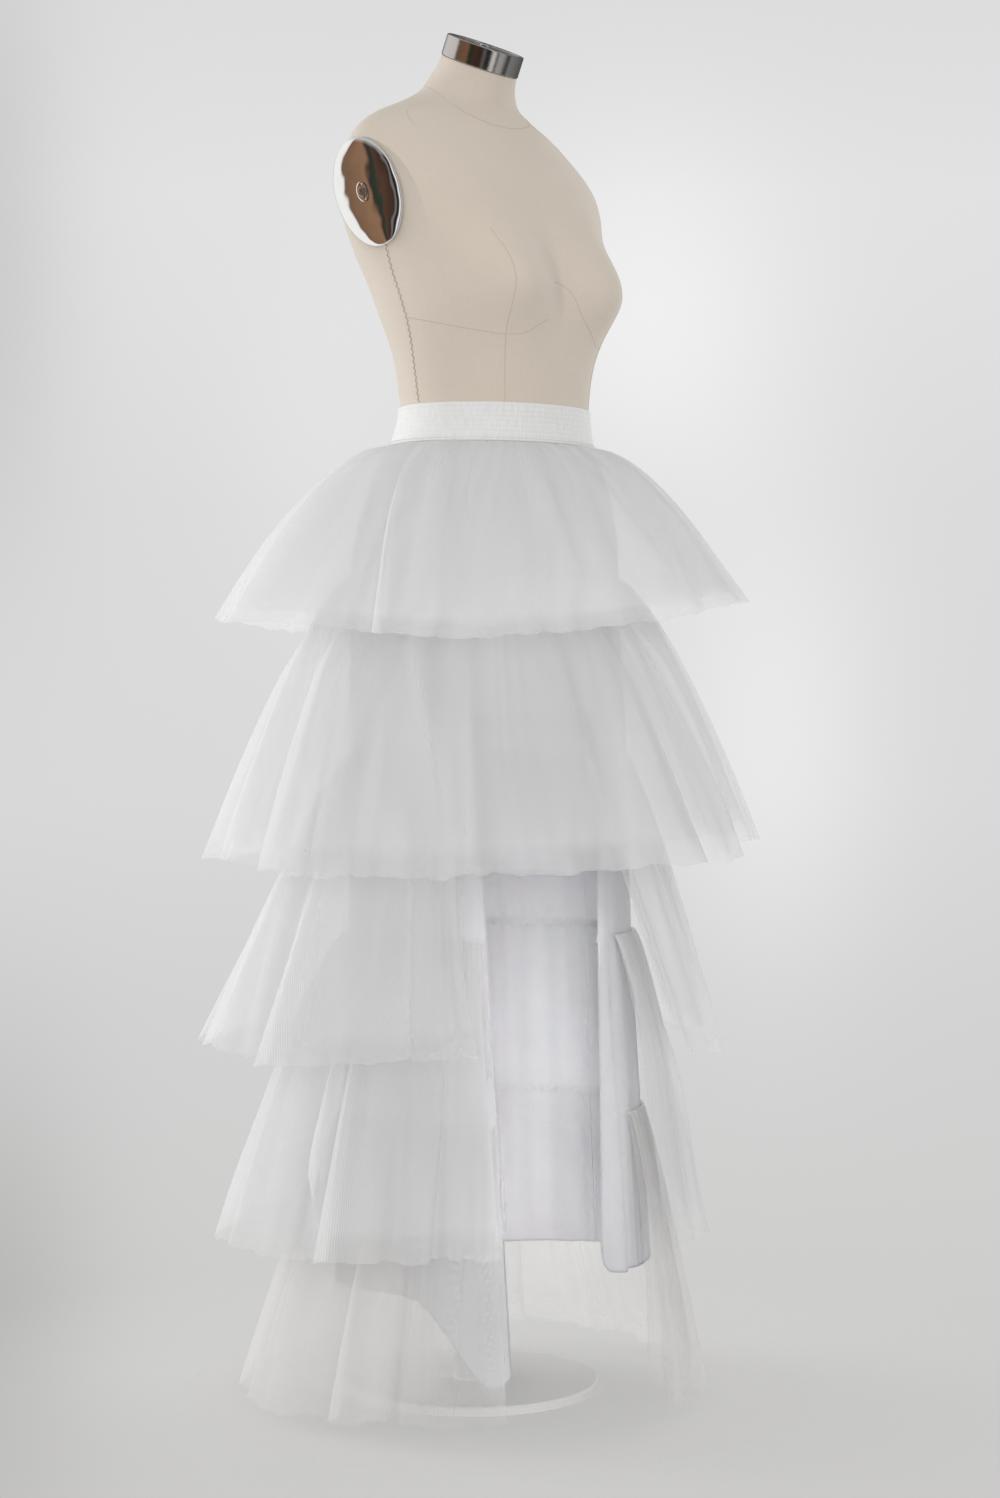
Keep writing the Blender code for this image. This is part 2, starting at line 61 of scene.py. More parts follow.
FORM_RINGS = (
    # height, half_width, front, back, middle_y, squareness, tilt
    (-0.330, 0.118, 0.086, 0.088, 0.010, 2.2, 0.0),
    (-0.322, 0.140, 0.104, 0.106, 0.010, 2.2, 0.0),
    (-0.296, 0.157, 0.115, 0.119, 0.010, 2.2, 0.0),
    (-0.250, 0.168, 0.124, 0.130, 0.010, 2.2, 0.0),
    (-0.190, 0.171, 0.127, 0.133, 0.010, 2.2, 0.0),
    (-0.130, 0.164, 0.122, 0.126, 0.008, 2.2, 0.0),
    (-0.070, 0.147, 0.112, 0.113, 0.005, 2.1, 0.0),
    (-0.030, 0.131, 0.103, 0.104, 0.002, 2.0, 0.0),
    (0.000, 0.124, 0.100, 0.100, 0.000, 2.0, 0.0),
    (0.027, 0.127, 0.103, 0.098, 0.002, 2.0, 0.0),
    (0.070, 0.136, 0.108, 0.100, 0.005, 2.0, 0.0),
    (0.109, 0.146, 0.108, 0.106, 0.010, 2.1, 0.0),
    (0.149, 0.156, 0.107, 0.110, 0.015, 2.3, 0.0),
    (0.188, 0.172, 0.101, 0.112, 0.022, 2.4, 0.0),
    (0.220, 0.191, 0.097, 0.106, 0.028, 2.3, 0.0),
    (0.250, 0.201, 0.092, 0.098, 0.031, 2.2, 0.0),
    (0.280, 0.201, 0.084, 0.088, 0.036, 2.1, 0.0),
    (0.308, 0.189, 0.069, 0.072, 0.042, 2.0, 0.0),
    (0.326, 0.170, 0.060, 0.061, 0.046, 2.0, 0.0),
    (0.342, 0.142, 0.055, 0.056, 0.046, 2.0, 2.0),
    (0.357, 0.103, 0.052, 0.053, 0.043, 2.0, 8.0),
    (0.370, 0.072, 0.050, 0.051, 0.039, 2.0, 14.0),
    (0.385, 0.056, 0.049, 0.050, 0.034, 2.0, 20.0),
    (0.398, 0.049, 0.047, 0.047, 0.029, 2.0, 23.0),
    (0.4100, 0.0460, 0.0460, 0.0460, 0.0240, 2.0, 23.5),
)
BUST_RISE = 0.040
BUST_HALF_SPACING = 0.085
BUST_HEIGHT = 0.138
BUST_SPREAD = 0.043
BUST_SPREAD_ABOVE = 0.052
BUST_SPREAD_BELOW = 0.034

PLATE_MIDDLE = Vector((-0.1834, 0.032, 1.3905))
PLATE_UP = Vector((-0.200, 0.217, 0.955)).normalized()
PLATE_FORWARD = Vector((0.217, -0.942, 0.258)).normalized()
PLATE_HALF_HEIGHT = 0.0625
PLATE_HALF_WIDTH = 0.0410
PLATE_DOME = 0.015
PLATE_EDGE = 0.003
DOME_CURVE = 1.4
SCREW_RADIUS = 0.0055
SCREW_HEIGHT = 0.0022
CAP_RADIUS = 0.0470
CAP_HEIGHT = 0.025
CAP_RIM = 0.003
CAP_RECESS = 0.0015

LINING_EASE = (
    # z, ease
    (1.155, 0.0018),
    (1.110, 0.0020),
    (1.090, 0.0024),
    (1.065, 0.0034),
    (1.040, 0.0040),
    (1.010, 0.0038),
    (0.970, 0.0036),
    (0.930, 0.0034),
)
LINING_RINGS = (
    # z, half_width, half_depth, middle_y
    (0.860, 0.1810, 0.1450, 0.012),
    (0.800, 0.1815, 0.1475, 0.010),
    (0.544, 0.1830, 0.1550, 0.006),
    (0.338, 0.1870, 0.1660, 0.003),
    (0.130, 0.1930, 0.1790, 0.000),
)
SLIT_RIGHT = (-56.0, -44.0)
SLIT_LEFT = (7.0, -5.0)

WIDE_SIDE = 225.0
Tier = namedtuple("Tier", "seam_z hem_r hem_z spring folds depth start end")
TIERS = (
    # seam_z, hem_r, hem_z, spring, folds, depth, start, end
    Tier(1.1097, (0.289, 0.018, 0.016), (0.904, -0.011, 0.017), 0.58, 25, 0.0105, (0, 0), (360, 360)),
    Tier(0.957, (0.311, 0.006, 0.008), (0.634, -0.010, 0.006), 0.70, 27, 0.0120, (0, 0), (360, 360)),
    Tier(0.750, (0.286, 0.038, 0.014), (0.420, 0.000, -0.007), 0.82, 24, 0.0120, (-4, 6), (296, 305)),
    Tier(0.544, (0.274, 0.040, 0.010), (0.200, 0.000, -0.009), 0.74, 23, 0.0105, (14, 5), (306.5, 312)),
    Tier(0.338, (0.269, 0.024, 0.003), (0.021, 0.000, -0.006), 0.84, 22, 0.0090, (17, -2), (310, 313)),
)
SEAM_FOLD_SHARE = 0.10

# The layers of each tier, outermost first: how far out they lie at the seam and at the hem, how
# long they are beside the tier, how much of the tier's large folds they follow, and their columns
LAYERS = (
    # word, seam_out, hem_out, length, large, columns
    ("outer", 0.0030, 0.0010, 1.000, 0.42, 840),
    ("inner", 0.0012, -0.0110, 0.930, 0.34, 660),
)
SHEET_ROWS = 24

# The folds that show most in each tier: angle at the seam and at the hem, rise
# (a trough is below zero), half widths in degrees before and after it, and the drops that it spans
CREASES = (
    # tier, seam_angle, hem_angle, rise, before, after, top, foot
    (0, 281, 288, 0.017, 1, 6, 0, 1),
    (0, 293, 298, -0.009, 3, 4, 0.05, 1),
    (0, 304, 305, 0.01, 0.8, 3.5, 0, 0.5),
    (0, 268, 262, -0.009, 5, 3, 0.1, 1),
    (0, 252, 247, 0.012, 3, 5, 0.1, 1),
    (0, 326, 334, 0.009, 4, 2, 0.1, 0.9),
    (0, 348, 1, 0.01, 5, 2, 0.05, 0.85),
    (0, 20, 30, 0.01, 5, 3, 0.2, 1),
    (0, 80, 86, 0.014, 2, 6, 0, 1),
    (0, 130, 124, -0.012, 5, 5, 0.1, 1),
    (0, 166, 160, 0.013, 5, 1.2, 0, 1),
    (0, 196, 204, 0.012, 1.2, 5, 0, 0.8),
    (1, 264, 262, 0.02, 0.8, 6, 0.1, 1),
    (1, 272, 270, -0.007, 2.5, 2.5, 0.2, 1),
    (1, 281, 301, 0.013, 5, 1, 0.15, 0.9),
    (1, 303, 306, -0.017, 2, 3, 0.1, 1),
    (1, 329, 336, 0.01, 5, 2, 0.15, 0.9),
    (1, 351, 353, 0.02, 6, 0.7, 0.15, 1),
    (1, 14, 6, 0.023, 6, 0.7, 0.1, 1),
    (1, 22, 23, -0.043, 7, 8, 0, 1),
    (1, 250, 254, -0.019, 6, 4, 0.1, 1),
    (1, 100, 104, 0.017, 1.2, 6, 0.1, 1),
    (1, 150, 146, -0.014, 4, 4, 0.2, 1),
    (1, 185, 192, 0.017, 6, 1, 0.1, 1),
    (1, 216, 220, 0.014, 3, 5, 0.1, 1),
    (2, 262, 264, 0.022, 1, 6, 0.1, 1),
    (2, 250, 250, -0.022, 6, 4, 0.1, 1),
    (2, 284, 288, 0.013, 5, 1, 0.2, 1),
    (2, 12, 16, 0.014, 4, 1, 0.1, 1),
    (2, 100, 104, 0.017, 1.2, 6, 0.1, 1),
    (2, 170, 166, -0.014, 4, 4, 0.2, 1),
    (2, 205, 210, 0.016, 5, 1.2, 0.1, 1),
    (3, 256, 260, -0.02, 6, 4, 0.1, 1),
    (3, 267, 267, 0.014, 0.8, 4, 0.05, 0.9),
    (3, 274, 276, 0.023, 1, 6, 0.1, 1),
    (3, 296, 292, 0.012, 4, 1.2, 0.2, 1),
    (3, 30, 34, 0.012, 4, 2, 0.2, 1),
    (3, 95, 90, 0.016, 5, 1.2, 0.1, 1),
    (3, 150, 155, 0.014, 2, 5, 0.2, 1),
    (3, 218, 214, -0.013, 5, 4, 0.1, 1),
    (4, 275, 276, 0.02, 1, 6, 0.1, 1),
    (4, 286, 283, -0.014, 4, 4, 0.2, 1),
    (4, 300, 297, 0.01, 4, 1.2, 0.1, 1),
    (4, 248, 252, 0.014, 3, 5, 0.2, 1),
    (4, 120, 118, 0.016, 5, 1.2, 0.1, 1),
    (4, 190, 194, -0.014, 5, 4, 0.2, 1),
)

# Places where the tulle is thin enough to look through: tier, angle, half width, how much thinner
THIN_PLACES = (
    (1, 22.0, 8.0, 0.55),
    (1, 41.0, 5.0, 0.25),
    (2, 303.0, 6.0, 0.45),
    (2, 16.0, 7.0, 0.40),
    (3, 309.0, 5.0, 0.35),
    (3, 14.0, 7.0, 0.30),
    (4, 303.0, 8.0, 0.60),
    (4, 150.0, 30.0, 0.40),
    (4, 5.0, 7.0, 0.30),
)

# A crease with a side narrower than this, in degrees, is laid over by so much and so wide
SHARP_SIDE = 1.3
FOLD_OVER = 3.4
FOLD_OVER_WIDTH = 1.6

# Small gathers: how deep at the seam and how much deeper at the hem, and how many to a fold; the
# pleats of the seam itself; how far a cut edge strays, and how much thinner it wears
GATHERS = (0.0002, 0.0006, 1.4)
SEAM_PLEATS = (0.0010, 4.2)
EDGE_STRAY = 0.014
EDGE_WEAR = 0.42
SEAM_DENSER = 0.4

# Flat cut of the outer layer of a tier: how wide the strip of tulle is, by how long
TIER_CUTS = ((1.90, 0.26), (2.05, 0.36), (1.65, 0.36), (1.60, 0.38), (1.60, 0.35))

# The form's seams as (angle, height above the waist): the first four mirror from right to left
SIDE_SEAM = (
    (-89, 0.205), (-90, 0.178), (-91.5, 0.150), (-91, 0.118), (-91, 0.094), (-94, 0.054),
    (-95.5, 0.018), (-95.5, 0.006),
)
PRINCESS_SEAM = (
    (-32, 0.198), (-33.5, 0.170), (-36.5, 0.144), (-38.5, 0.120), (-38.5, 0.090), (-38, 0.072),
    (-37.5, 0.042), (-38, 0.006),
)
SHOULDER_SEAM = ((-64, 0.341), (-59, 0.334), (-54, 0.326), (-49, 0.318))
NECK_SEAM = (
    (-180, 0.378), (-150, 0.377), (-120, 0.376), (-90, 0.374), (-59, 0.365), (-39, 0.356),
    (-24, 0.346), (-8, 0.337), (0, 0.336),
)
BACK_SEAM = ((180, 0.378), (180, 0.300), (180, 0.200), (180, 0.100), (180, 0.010))
RIGHT_CUP_SEAM = (
    (-90, 0.101), (-71, 0.091), (-54, 0.084), (-38.5, 0.080), (-27.5, 0.083), (-19.5, 0.093),
    (-13, 0.100),
)
LEFT_CUP_SEAM = (
    (90, 0.101), (71, 0.091), (54, 0.084), (38, 0.079), (28, 0.080), (16, 0.097), (9, 0.113),
    (3, 0.137), (-2, 0.145), (-6, 0.143),
)


def eased(table, heights):
    """The columns of a table of rings at each height, on one smooth curve through its rows."""
    rows = np.array(sorted(table), float)
    at, values = rows[:, 0], rows[:, 1:]
    slopes = np.gradient(values, at, axis=0)
    heights = np.clip(np.asarray(heights, float), at[0], at[-1])
    i = np.clip(np.searchsorted(at, heights, side="right") - 1, 0, len(rows) - 2)
    span = (at[i + 1] - at[i])[..., None]
    t = (heights - at[i])[..., None] / span
    start, end = 2 * t**3 - 3 * t**2 + 1, 3 * t**2 - 2 * t**3
    leave, arrive = t**3 - 2 * t**2 + t, t**3 - t**2
    table = start * values[i] + end * values[i + 1]
    return table + span * (leave * slopes[i] + arrive * slopes[i + 1])


def form_points(angles, heights, out=0.0):
    """Points of the form's skin at angles round it and heights above the waist, moved out."""
    angles, heights = np.broadcast_arrays(np.asarray(angles, float), np.asarray(heights, float))
    half_width, front, back, middle, square, tilt = np.moveaxis(eased(FORM_RINGS, heights), -1, 0)
    s, c = np.sin(np.radians(angles)), -np.cos(np.radians(angles))
    depth = np.where(c < 0, front, back)
    x = (half_width + out) * np.sign(s) * np.abs(s) ** (2 / square)
    y = (depth + out) * np.sign(c) * np.abs(c) ** (2 / square)
    above = heights - BUST_HEIGHT
    spread = np.where(above > 0, BUST_SPREAD_ABOVE, BUST_SPREAD_BELOW)
    side = (np.abs(x) - BUST_HALF_SPACING) / BUST_SPREAD
    bust = BUST_RISE * np.exp(-0.5 * side**2 - 0.5 * (above / spread) ** 2)
    y = y - np.where(y < 0, bust * np.minimum(1, -y / 0.04), 0)
    lean = np.radians(tilt)
    return np.stack((x, middle + y * np.cos(lean), WAIST_Z + heights + y * np.sin(lean)), -1)


def lining_table():
    """The lining's rings, the top ones just wide enough for the form's squarer rings."""
    top = []
    for z, ease in LINING_EASE:
        half_width, front, back, middle, square, _ = eased(FORM_RINGS, z - WAIST_Z)
        wider = 2 ** (1 / 2 - 1 / square)
        out = ease + LINING_WALL
        half_depth = (front + back) / 2 * wider + out
        top.append((z, half_width * wider + out, half_depth, middle + (back - front) / 2))
    return tuple(top) + LINING_RINGS


LINING_TABLE = lining_table()


def lining_radius(angles, z):
    """(the lining's outer radius, its middle's y) at angles and heights."""
    half_width, half_depth, middle = np.moveaxis(eased(LINING_TABLE, z), -1, 0)
    s, c = np.sin(np.radians(angles)), np.cos(np.radians(angles))
    return 1 / np.hypot(s / half_width, c / half_depth), middle


def lining_hem(angles):
    """The height of the lining's hem: a little higher in front, and low at one slit corner."""
    at, wide, drop = LINING_CORNER
    low = drop * np.exp(-(((angles - at) / wide) ** 2))
    return LINING_HEM_Z + LINING_HEM_RISE * np.cos(np.radians(angles)) - low


def swing(angles, mean, more, both):
    """A size that is larger towards the wide side of the skirt, and also opposite it."""
    a = np.radians(angles - WIDE_SIDE)
    return mean + more * np.cos(a) + both * np.cos(2 * a)


def tier_angle(number, turn, drop):
    """The angle of a place on a tier, counted in folds from its start."""
    tier = TIERS[number]
    folds = tier.folds
    a = 2 * math.pi * turn / folds
    uneven = 0.36 * (np.sin(3 * a + number) - math.sin(number))
    uneven = uneven + 0.15 * (np.sin(7 * a + 2 * number) - math.sin(2 * number))
    start, end = (low + (high - low) * drop for low, high in (tier.start, tier.end))
    return start + (end - start) * (turn + uneven) / folds


def eased_step(value, low, high):
    """0 below low and 1 above high, with a smooth rise between."""
    t = np.clip((value - low) / (high - low), 0, 1)
    return t * t * (3 - 2 * t)


def hump(apart, wide):
    """1 in the middle of a smooth hump, and 0 far from it."""
    return np.exp(-0.5 * (apart / wide) ** 2)


def round_body(angles, radius, middle, z):
    """Points at angles, radii and heights round the upright line at a middle y."""
    a = np.radians(angles)
    return np.stack((radius * np.sin(a), middle - radius * np.cos(a), z + 0 * radius), -1)


def outwards(chain):
    """The level direction away from the body at each point of a chain."""
    a = np.arctan2(chain[:, 0], -chain[:, 1])
    return np.stack((np.sin(a), -np.cos(a), 0 * a), -1)


def zigzag(chain, spacing, sideways, up, out=0.0004):
    """Stitches along a chain of points, each second one moved sideways or up."""
    chain = resampled(chain, spacing)
    away = outwards(chain)
    side = away[:, (1, 0, 2)] * (-1, 1, 1)
    odd = (np.arange(len(chain)) % 2)[:, None]
    return chain + odd * (side * sideways + np.array((0, 0, up))) + away * out


def ripple(share, drop, count, rng, wander=0.6):
    """About count folds across a sheet, uneven in width and depth, that drift as they fall."""
    phase = count * share
    depth = np.ones_like(share)
    for k in range(1, 9):
        size = rng.normal(0, 0.02 * count / k)
        phase = phase + size * np.sin(2 * math.pi * (k * share + rng.random()))
    for k in (2, 5, 9, 14, 21):
        depth = depth + rng.normal(0, 0.45) * np.sin(2 * math.pi * (k * share + rng.random()))
    drift = np.sin(2 * math.pi * (4 * share + rng.random())) * np.sin(2.4 * drop + 6 * rng.random())
    drift = drift + 0.5 * np.sin(2 * math.pi * (11 * share + 0.7 * drop + rng.random()))
    fall = 0.7 + 0.5 * np.sin(2 * math.pi * (8 * share + 0.9 * drop + rng.random()))
    depth = np.clip(depth, 0.0, 2.2) * fall
    return depth * np.cos(2 * math.pi * phase + 2 * math.pi * wander * drift)


def ragged(share, rng):
    """A cut edge that runs a little long and short, with a few small points."""
    edge = np.zeros_like(share)
    for count, size in ((5, 0.40), (13, 0.32), (41, 0.26), (110, 0.14)):
        edge = edge + size * np.sin(2 * math.pi * (count * share + rng.random()))
    points = np.abs(np.sin(math.pi * (37 * share + rng.random()))) ** 6
    return edge + 0.5 * points * np.sin(2 * math.pi * (7 * share + rng.random()))


# Meshes


@contextlib.contextmanager
def edited(mesh):
    """A mesh opened for changes, which are written back at the end."""
    work = bmesh.new()
    work.from_mesh(mesh)
    yield work
    work.to_mesh(mesh)
    work.free()


def linked(name, data):
    """A new object in the scene."""
    made = bpy.data.objects.new(name, data)
    bpy.context.scene.collection.objects.link(made)
    return made


def new_piece(name, mesh, material, body="root"):
    """Links a finished mesh as one piece that rides on a body and takes a slot's finish."""
    mesh.materials.clear()
    mesh.materials.append(material)
    piece = linked(name, mesh)
    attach(piece, body)
    return piece


def sheet_mesh(name, points, closed, across, down, fades=None, keep=None):
    """A sheet from a grid of points, with a UV map in metres and an attribute for worn edges.

    across and down are each column's and row's place in the flat cloth."""
    rows, columns = points.shape[:2]
    spans = columns if closed else columns - 1
    i, j = np.meshgrid(np.arange(rows - 1), np.arange(spans), indexing="ij")
    i, j = i.ravel(), j.ravel()
    if keep is not None:
        used = keep(i, j)
        i, j = i[used], j[used]
    corners = ((i, j), (i + 1, j), (i + 1, j + 1), (i, j + 1))
    faces = np.stack([r * columns + c % columns for r, c in corners], -1)
    across, down = (np.broadcast_to(v, (rows, spans + 1)) for v in (across, down[:, None]))
    uv = np.stack([np.stack((across[r, c], -down[r, c]), -1) for r, c in corners], 1)
    mesh = bpy.data.meshes.new(name)
    mesh.vertices.add(rows * columns)
    mesh.vertices.foreach_set("co", points.reshape(-1))
    mesh.loops.add(faces.size)
    mesh.loops.foreach_set("vertex_index", faces.reshape(-1))
    mesh.polygons.add(len(faces))
    mesh.polygons.foreach_set("loop_start", np.arange(len(faces)) * 4)
    mesh.update(calc_edges=True)
    layer = mesh.uv_layers.new(name="cloth")
    layer.uv.foreach_set("vector", uv.reshape(-1))
    if fades is not None:
        worn = mesh.attributes.new("edge", "FLOAT", "POINT")
        worn.data.foreach_set("value", np.broadcast_to(fades, (rows, columns)).ravel())
    if keep is not None:
        with edited(mesh) as work:
            lone = [v for v in work.verts if not v.link_faces]
            bmesh.ops.delete(work, geom=lone, context="VERTS")
    mesh.shade_smooth()
    return mesh


def turned_mesh(name, profile, sides, place=None, sharp=40):
    """A closed mesh turned round Z from a profile of (radius, height), top first at the axis."""
    mesh = bmesh.new()
    rings = []
    for radius, height in profile:
        if radius == 0:
            rings.append([mesh.verts.new((0, 0, height))])
            continue
        turns = (2 * math.pi * k / sides for k in range(sides))
        rings.append(
            [mesh.verts.new((radius * math.cos(t), radius * math.sin(t), height)) for t in turns]
        )
    for first, second in zip(rings, rings[1:]):
        for j in range(sides):
            k = (j + 1) % sides
            if len(first) == 1:
                mesh.faces.new((first[0], second[j], second[k]))
            elif len(second) == 1:
                mesh.faces.new((first[j], second[0], first[k]))
            else:
                mesh.faces.new((first[j], second[j], second[k], first[k]))
    if place is not None:
        bmesh.ops.transform(mesh, matrix=place, verts=mesh.verts)
    bmesh.ops.recalc_face_normals(mesh, faces=mesh.faces)
    data = bpy.data.meshes.new(name)
    mesh.to_mesh(data)
    mesh.free()
    data.shade_smooth()
    data.set_sharp_from_angle(angle=math.radians(sharp))
    return data


def plain_mesh(piece):
    """Applies a piece's modifiers and leaves it a plain mesh."""
    graph = bpy.context.evaluated_depsgraph_get()
    mesh = bpy.data.meshes.new_from_object(piece.evaluated_get(graph))
    piece.modifiers.clear()
    old, piece.data = piece.data, mesh
    bpy.data.meshes.remove(old)
    return piece


def thread_tree():
    """Geometry nodes that lay a round thread along each chain of edges of a mesh."""
    tree = bpy.data.node_groups.new("thread_along_edges", "GeometryNodeTree")
    sockets = (("Path", "INPUT", "Geometry"), ("Thread radius", "INPUT", "Float"),
               ("Sides", "INPUT", "Int"), ("Finish", "INPUT", "Material"),
               ("Thread", "OUTPUT", "Geometry"))
    for label, way, kind in sockets:
        tree.interface.new_socket(label, in_out=way, socket_type="NodeSocket" + kind)
    start, path, ring, tube, realize, finish, end = (tree.nodes.new(kind) for kind in (
        "NodeGroupInput", "GeometryNodeMeshToCurve", "GeometryNodeCurvePrimitiveCircle",
        "GeometryNodeCurveToMesh", "GeometryNodeRealizeInstances", "GeometryNodeSetMaterial",
        "NodeGroupOutput",
    ))
    tube.inputs["Fill Caps"].default_value = True
    for source, given, target, taken in (
        (start, "Path", path, "Mesh"),
        (start, "Sides", ring, "Resolution"),
        (start, "Thread radius", ring, "Radius"),
        (path, "Curve", tube, "Curve"),
        (ring, "Curve", tube, "Profile Curve"),
        (tube, "Mesh", realize, "Geometry"),
        (realize, "Geometry", finish, "Geometry"),
        (start, "Finish", finish, "Material"),
        (finish, "Geometry", end, "Thread"),
    ):
        tree.links.new(source.outputs[given], target.inputs[taken])
    return tree


def thread_piece(name, paths, radius, material, sides=5):
    """Threads along open paths, each an array of points, as one piece."""
    mesh = bpy.data.meshes.new(name)
    points = np.concatenate(paths)
    first = np.cumsum([0] + [len(p) for p in paths[:-1]])
    edges = [(a + k, a + k + 1) for a, p in zip(first, paths) for k in range(len(p) - 1)]
    mesh.from_pydata([tuple(p) for p in points], edges, [])
    piece = linked(name, mesh)
    modifier = piece.modifiers.new("thread", "NODES")
    modifier.node_group = THREAD_TREE
    values = {"Thread radius": radius, "Sides": sides, "Finish": material}
    for item in THREAD_TREE.interface.items_tree:
        if item.in_out == "INPUT" and item.name in values:
            modifier[item.identifier] = values[item.name]
    plain_mesh(piece)
    with edited(piece.data) as tubes:
        bmesh.ops.recalc_face_normals(tubes, faces=tubes.faces)
    piece.data.shade_smooth()
    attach(piece, "root")
    return piece


def along(points):
    """Closely spaced points on a smooth curve through a few points (arrays of any width)."""
    points = np.asarray(points, float)
    ends = np.vstack((2 * points[0] - points[1], points, 2 * points[-1] - points[-2]))
    t = np.linspace(0, 1, 40, endpoint=False)[:, None]
    dense = [
        0.5 * (2 * b + (c - a) * t + (2 * a - 5 * b + 4 * c - d) * t**2
               + (3 * b - a - 3 * c + d) * t**3)
        for a, b, c, d in zip(ends, ends[1:], ends[2:], ends[3:])
    ]
    return np.vstack(dense + [points[-1:]])


def resampled(points, spacing):
    """Points a fixed distance apart along a chain of points."""
    steps = np.linalg.norm(np.diff(points, axis=0), axis=1)
    far = np.concatenate(([0], np.cumsum(steps)))
    count = max(int(far[-1] / spacing), 1) + 1
    at = np.linspace(0, far[-1], count)
    return np.stack([np.interp(at, far, column) for column in points.T], -1)


# Materials


def node(tree, kind, inputs=None, **settings):
    """A shader node with its settings, and its inputs as values or as another node's output."""
    made = tree.nodes.new(kind)
    for key, value in settings.items():
        setattr(made, key, value)
    for key, value in (inputs or {}).items():
        if isinstance(value, bpy.types.NodeSocket):
            tree.links.new(value, made.inputs[key])
        else:
            made.inputs[key].default_value = value
    return made


def shader_group(name, inputs, outputs):
    """An empty group that takes a vector and named numbers, and what it is given and returns."""
    tree = bpy.data.node_groups.new(name, "ShaderNodeTree")
    tree.interface.new_socket("Vector", in_out="INPUT", socket_type="NodeSocketVector")
    for label, value in inputs.items():
        socket = tree.interface.new_socket(label, in_out="INPUT", socket_type="NodeSocketFloat")
        socket.default_value = value
    for label in outputs:
        tree.interface.new_socket(label, in_out="OUTPUT", socket_type="NodeSocketFloat")
    return tree, tree.nodes.new("NodeGroupInput").outputs, tree.nodes.new("NodeGroupOutput").inputs


def math_node(tree, operation, first, second=0.0, clamp=False):
    return node(tree, "ShaderNodeMath", {0: first, 1: second}, operation=operation,
                use_clamp=clamp).outputs[0]


def times(tree, first, second, clamp=False):
    return math_node(tree, "MULTIPLY", first, second, clamp)


def plus(tree, first, second):
    return math_node(tree, "ADD", first, second)


def principled(tree, inputs):
    return node(tree, "ShaderNodeBsdfPrincipled", inputs)


def mapped(tree, value, low, high, new_low=0.0, new_high=1.0):
    """A value moved from one range to another, and held inside it."""
    return node(tree, "ShaderNodeMapRange", {
        "Value": value, "From Min": low, "From Max": high, "To Min": new_low, "To Max": new_high,
    }).outputs["Result"]


def noise(tree, place, scale, detail=2.0, rough=0.5):
    return node(tree, "ShaderNodeTexNoise", {
        "Vector": place, "Scale": scale, "Detail": detail, "Roughness": rough,
    }).outputs[0]


def stretched(tree, place, by):
    """A place with each of its three numbers multiplied by its own factor."""
    return node(tree, "ShaderNodeVectorMath", {0: place, 1: by}, operation="MULTIPLY").outputs[0]


def dotted(tree, first, second):
    """How far one vector reaches along another."""
    return node(tree, "ShaderNodeVectorMath", {0: first, 1: second},
                operation="DOT_PRODUCT").outputs["Value"]


def cloth_place(tree):
    """Metres across and down the flat cloth."""
    return node(tree, "ShaderNodeUVMap", uv_map="cloth").outputs["UV"]


def solid_place(tree):
    """Metres in the piece's own space."""
    return node(tree, "ShaderNodeTexCoord").outputs["Object"]


def mixed(tree, share, first, second):
    """The first shader, with a share of the second."""
    return node(tree, "ShaderNodeMixShader", {
        0: share, 1: first.outputs[0], 2: second.outputs[0],
    })


def let_through(tree, surface, colour, share):
    """A surface that lets a share of the light through."""
    return mixed(tree, share, surface, node(tree, "ShaderNodeBsdfTranslucent", {"Color": colour}))


def net_group():
    """Six-sided net: threads is 1 on a thread and 0 in a hole."""
    tree, given, result = shader_group("net_holes", {"Pitch": 0.0013}, ["Threads"])
    total = None
    for a in np.radians((0, 60, 120)):
        way = dotted(tree, given["Vector"], (math.cos(a), math.sin(a), 0))
        counted = math_node(tree, "DIVIDE", way, given["Pitch"])
        wave = math_node(tree, "COSINE", times(tree, counted, 2 * math.pi))
        total = wave if total is None else plus(tree, total, wave)
    tree.links.new(mapped(tree, total, 1.2, -0.6), result["Threads"])
    return tree


def streak_group():
    """Soft streaks that run down the cloth, from 0 to 1."""
    tree, given, result = shader_group("fall_streaks", {"Across": 60, "Down": 3}, ["Streaks"])
    scale = node(tree, "ShaderNodeCombineXYZ", {"X": given["Across"], "Y": given["Down"]})
    streaks = noise(tree, stretched(tree, given["Vector"], scale.outputs[0]), 1.0, rough=0.6)
    tree.links.new(mapped(tree, streaks, 0.3, 0.7), result["Streaks"])
    return tree


def weave_group():
    """Threads over and under each other, as a height from 0 to 1."""
    tree, given, result = shader_group("plain_weave", {"Thread": 0.0008}, ["Height", "Slubs"])
    apart = node(tree, "ShaderNodeSeparateXYZ", {0: given["Vector"]}).outputs
    waves = []
    for axis in ("X", "Y"):
        counted = math_node(tree, "DIVIDE", apart[axis], given["Thread"])
        waves.append(math_node(tree, "SINE", times(tree, counted, math.pi)))
    cross = times(tree, waves[0], waves[1])
    tree.links.new(mapped(tree, cross, -1.0, 1.0), result["Height"])
    slubs = None
    for stretch in ((30.0, 900.0, 1.0), (900.0, 30.0, 1.0)):
        grain = noise(tree, stretched(tree, given["Vector"], stretch), 1.0)
        slubs = grain if slubs is None else math_node(tree, "MAXIMUM", slubs, grain)
    tree.links.new(mapped(tree, slubs, 0.35, 0.75), result["Slubs"])
    return tree


def group_node(tree, group, **inputs):
    return node(tree, "ShaderNodeGroup", inputs, node_tree=group).outputs


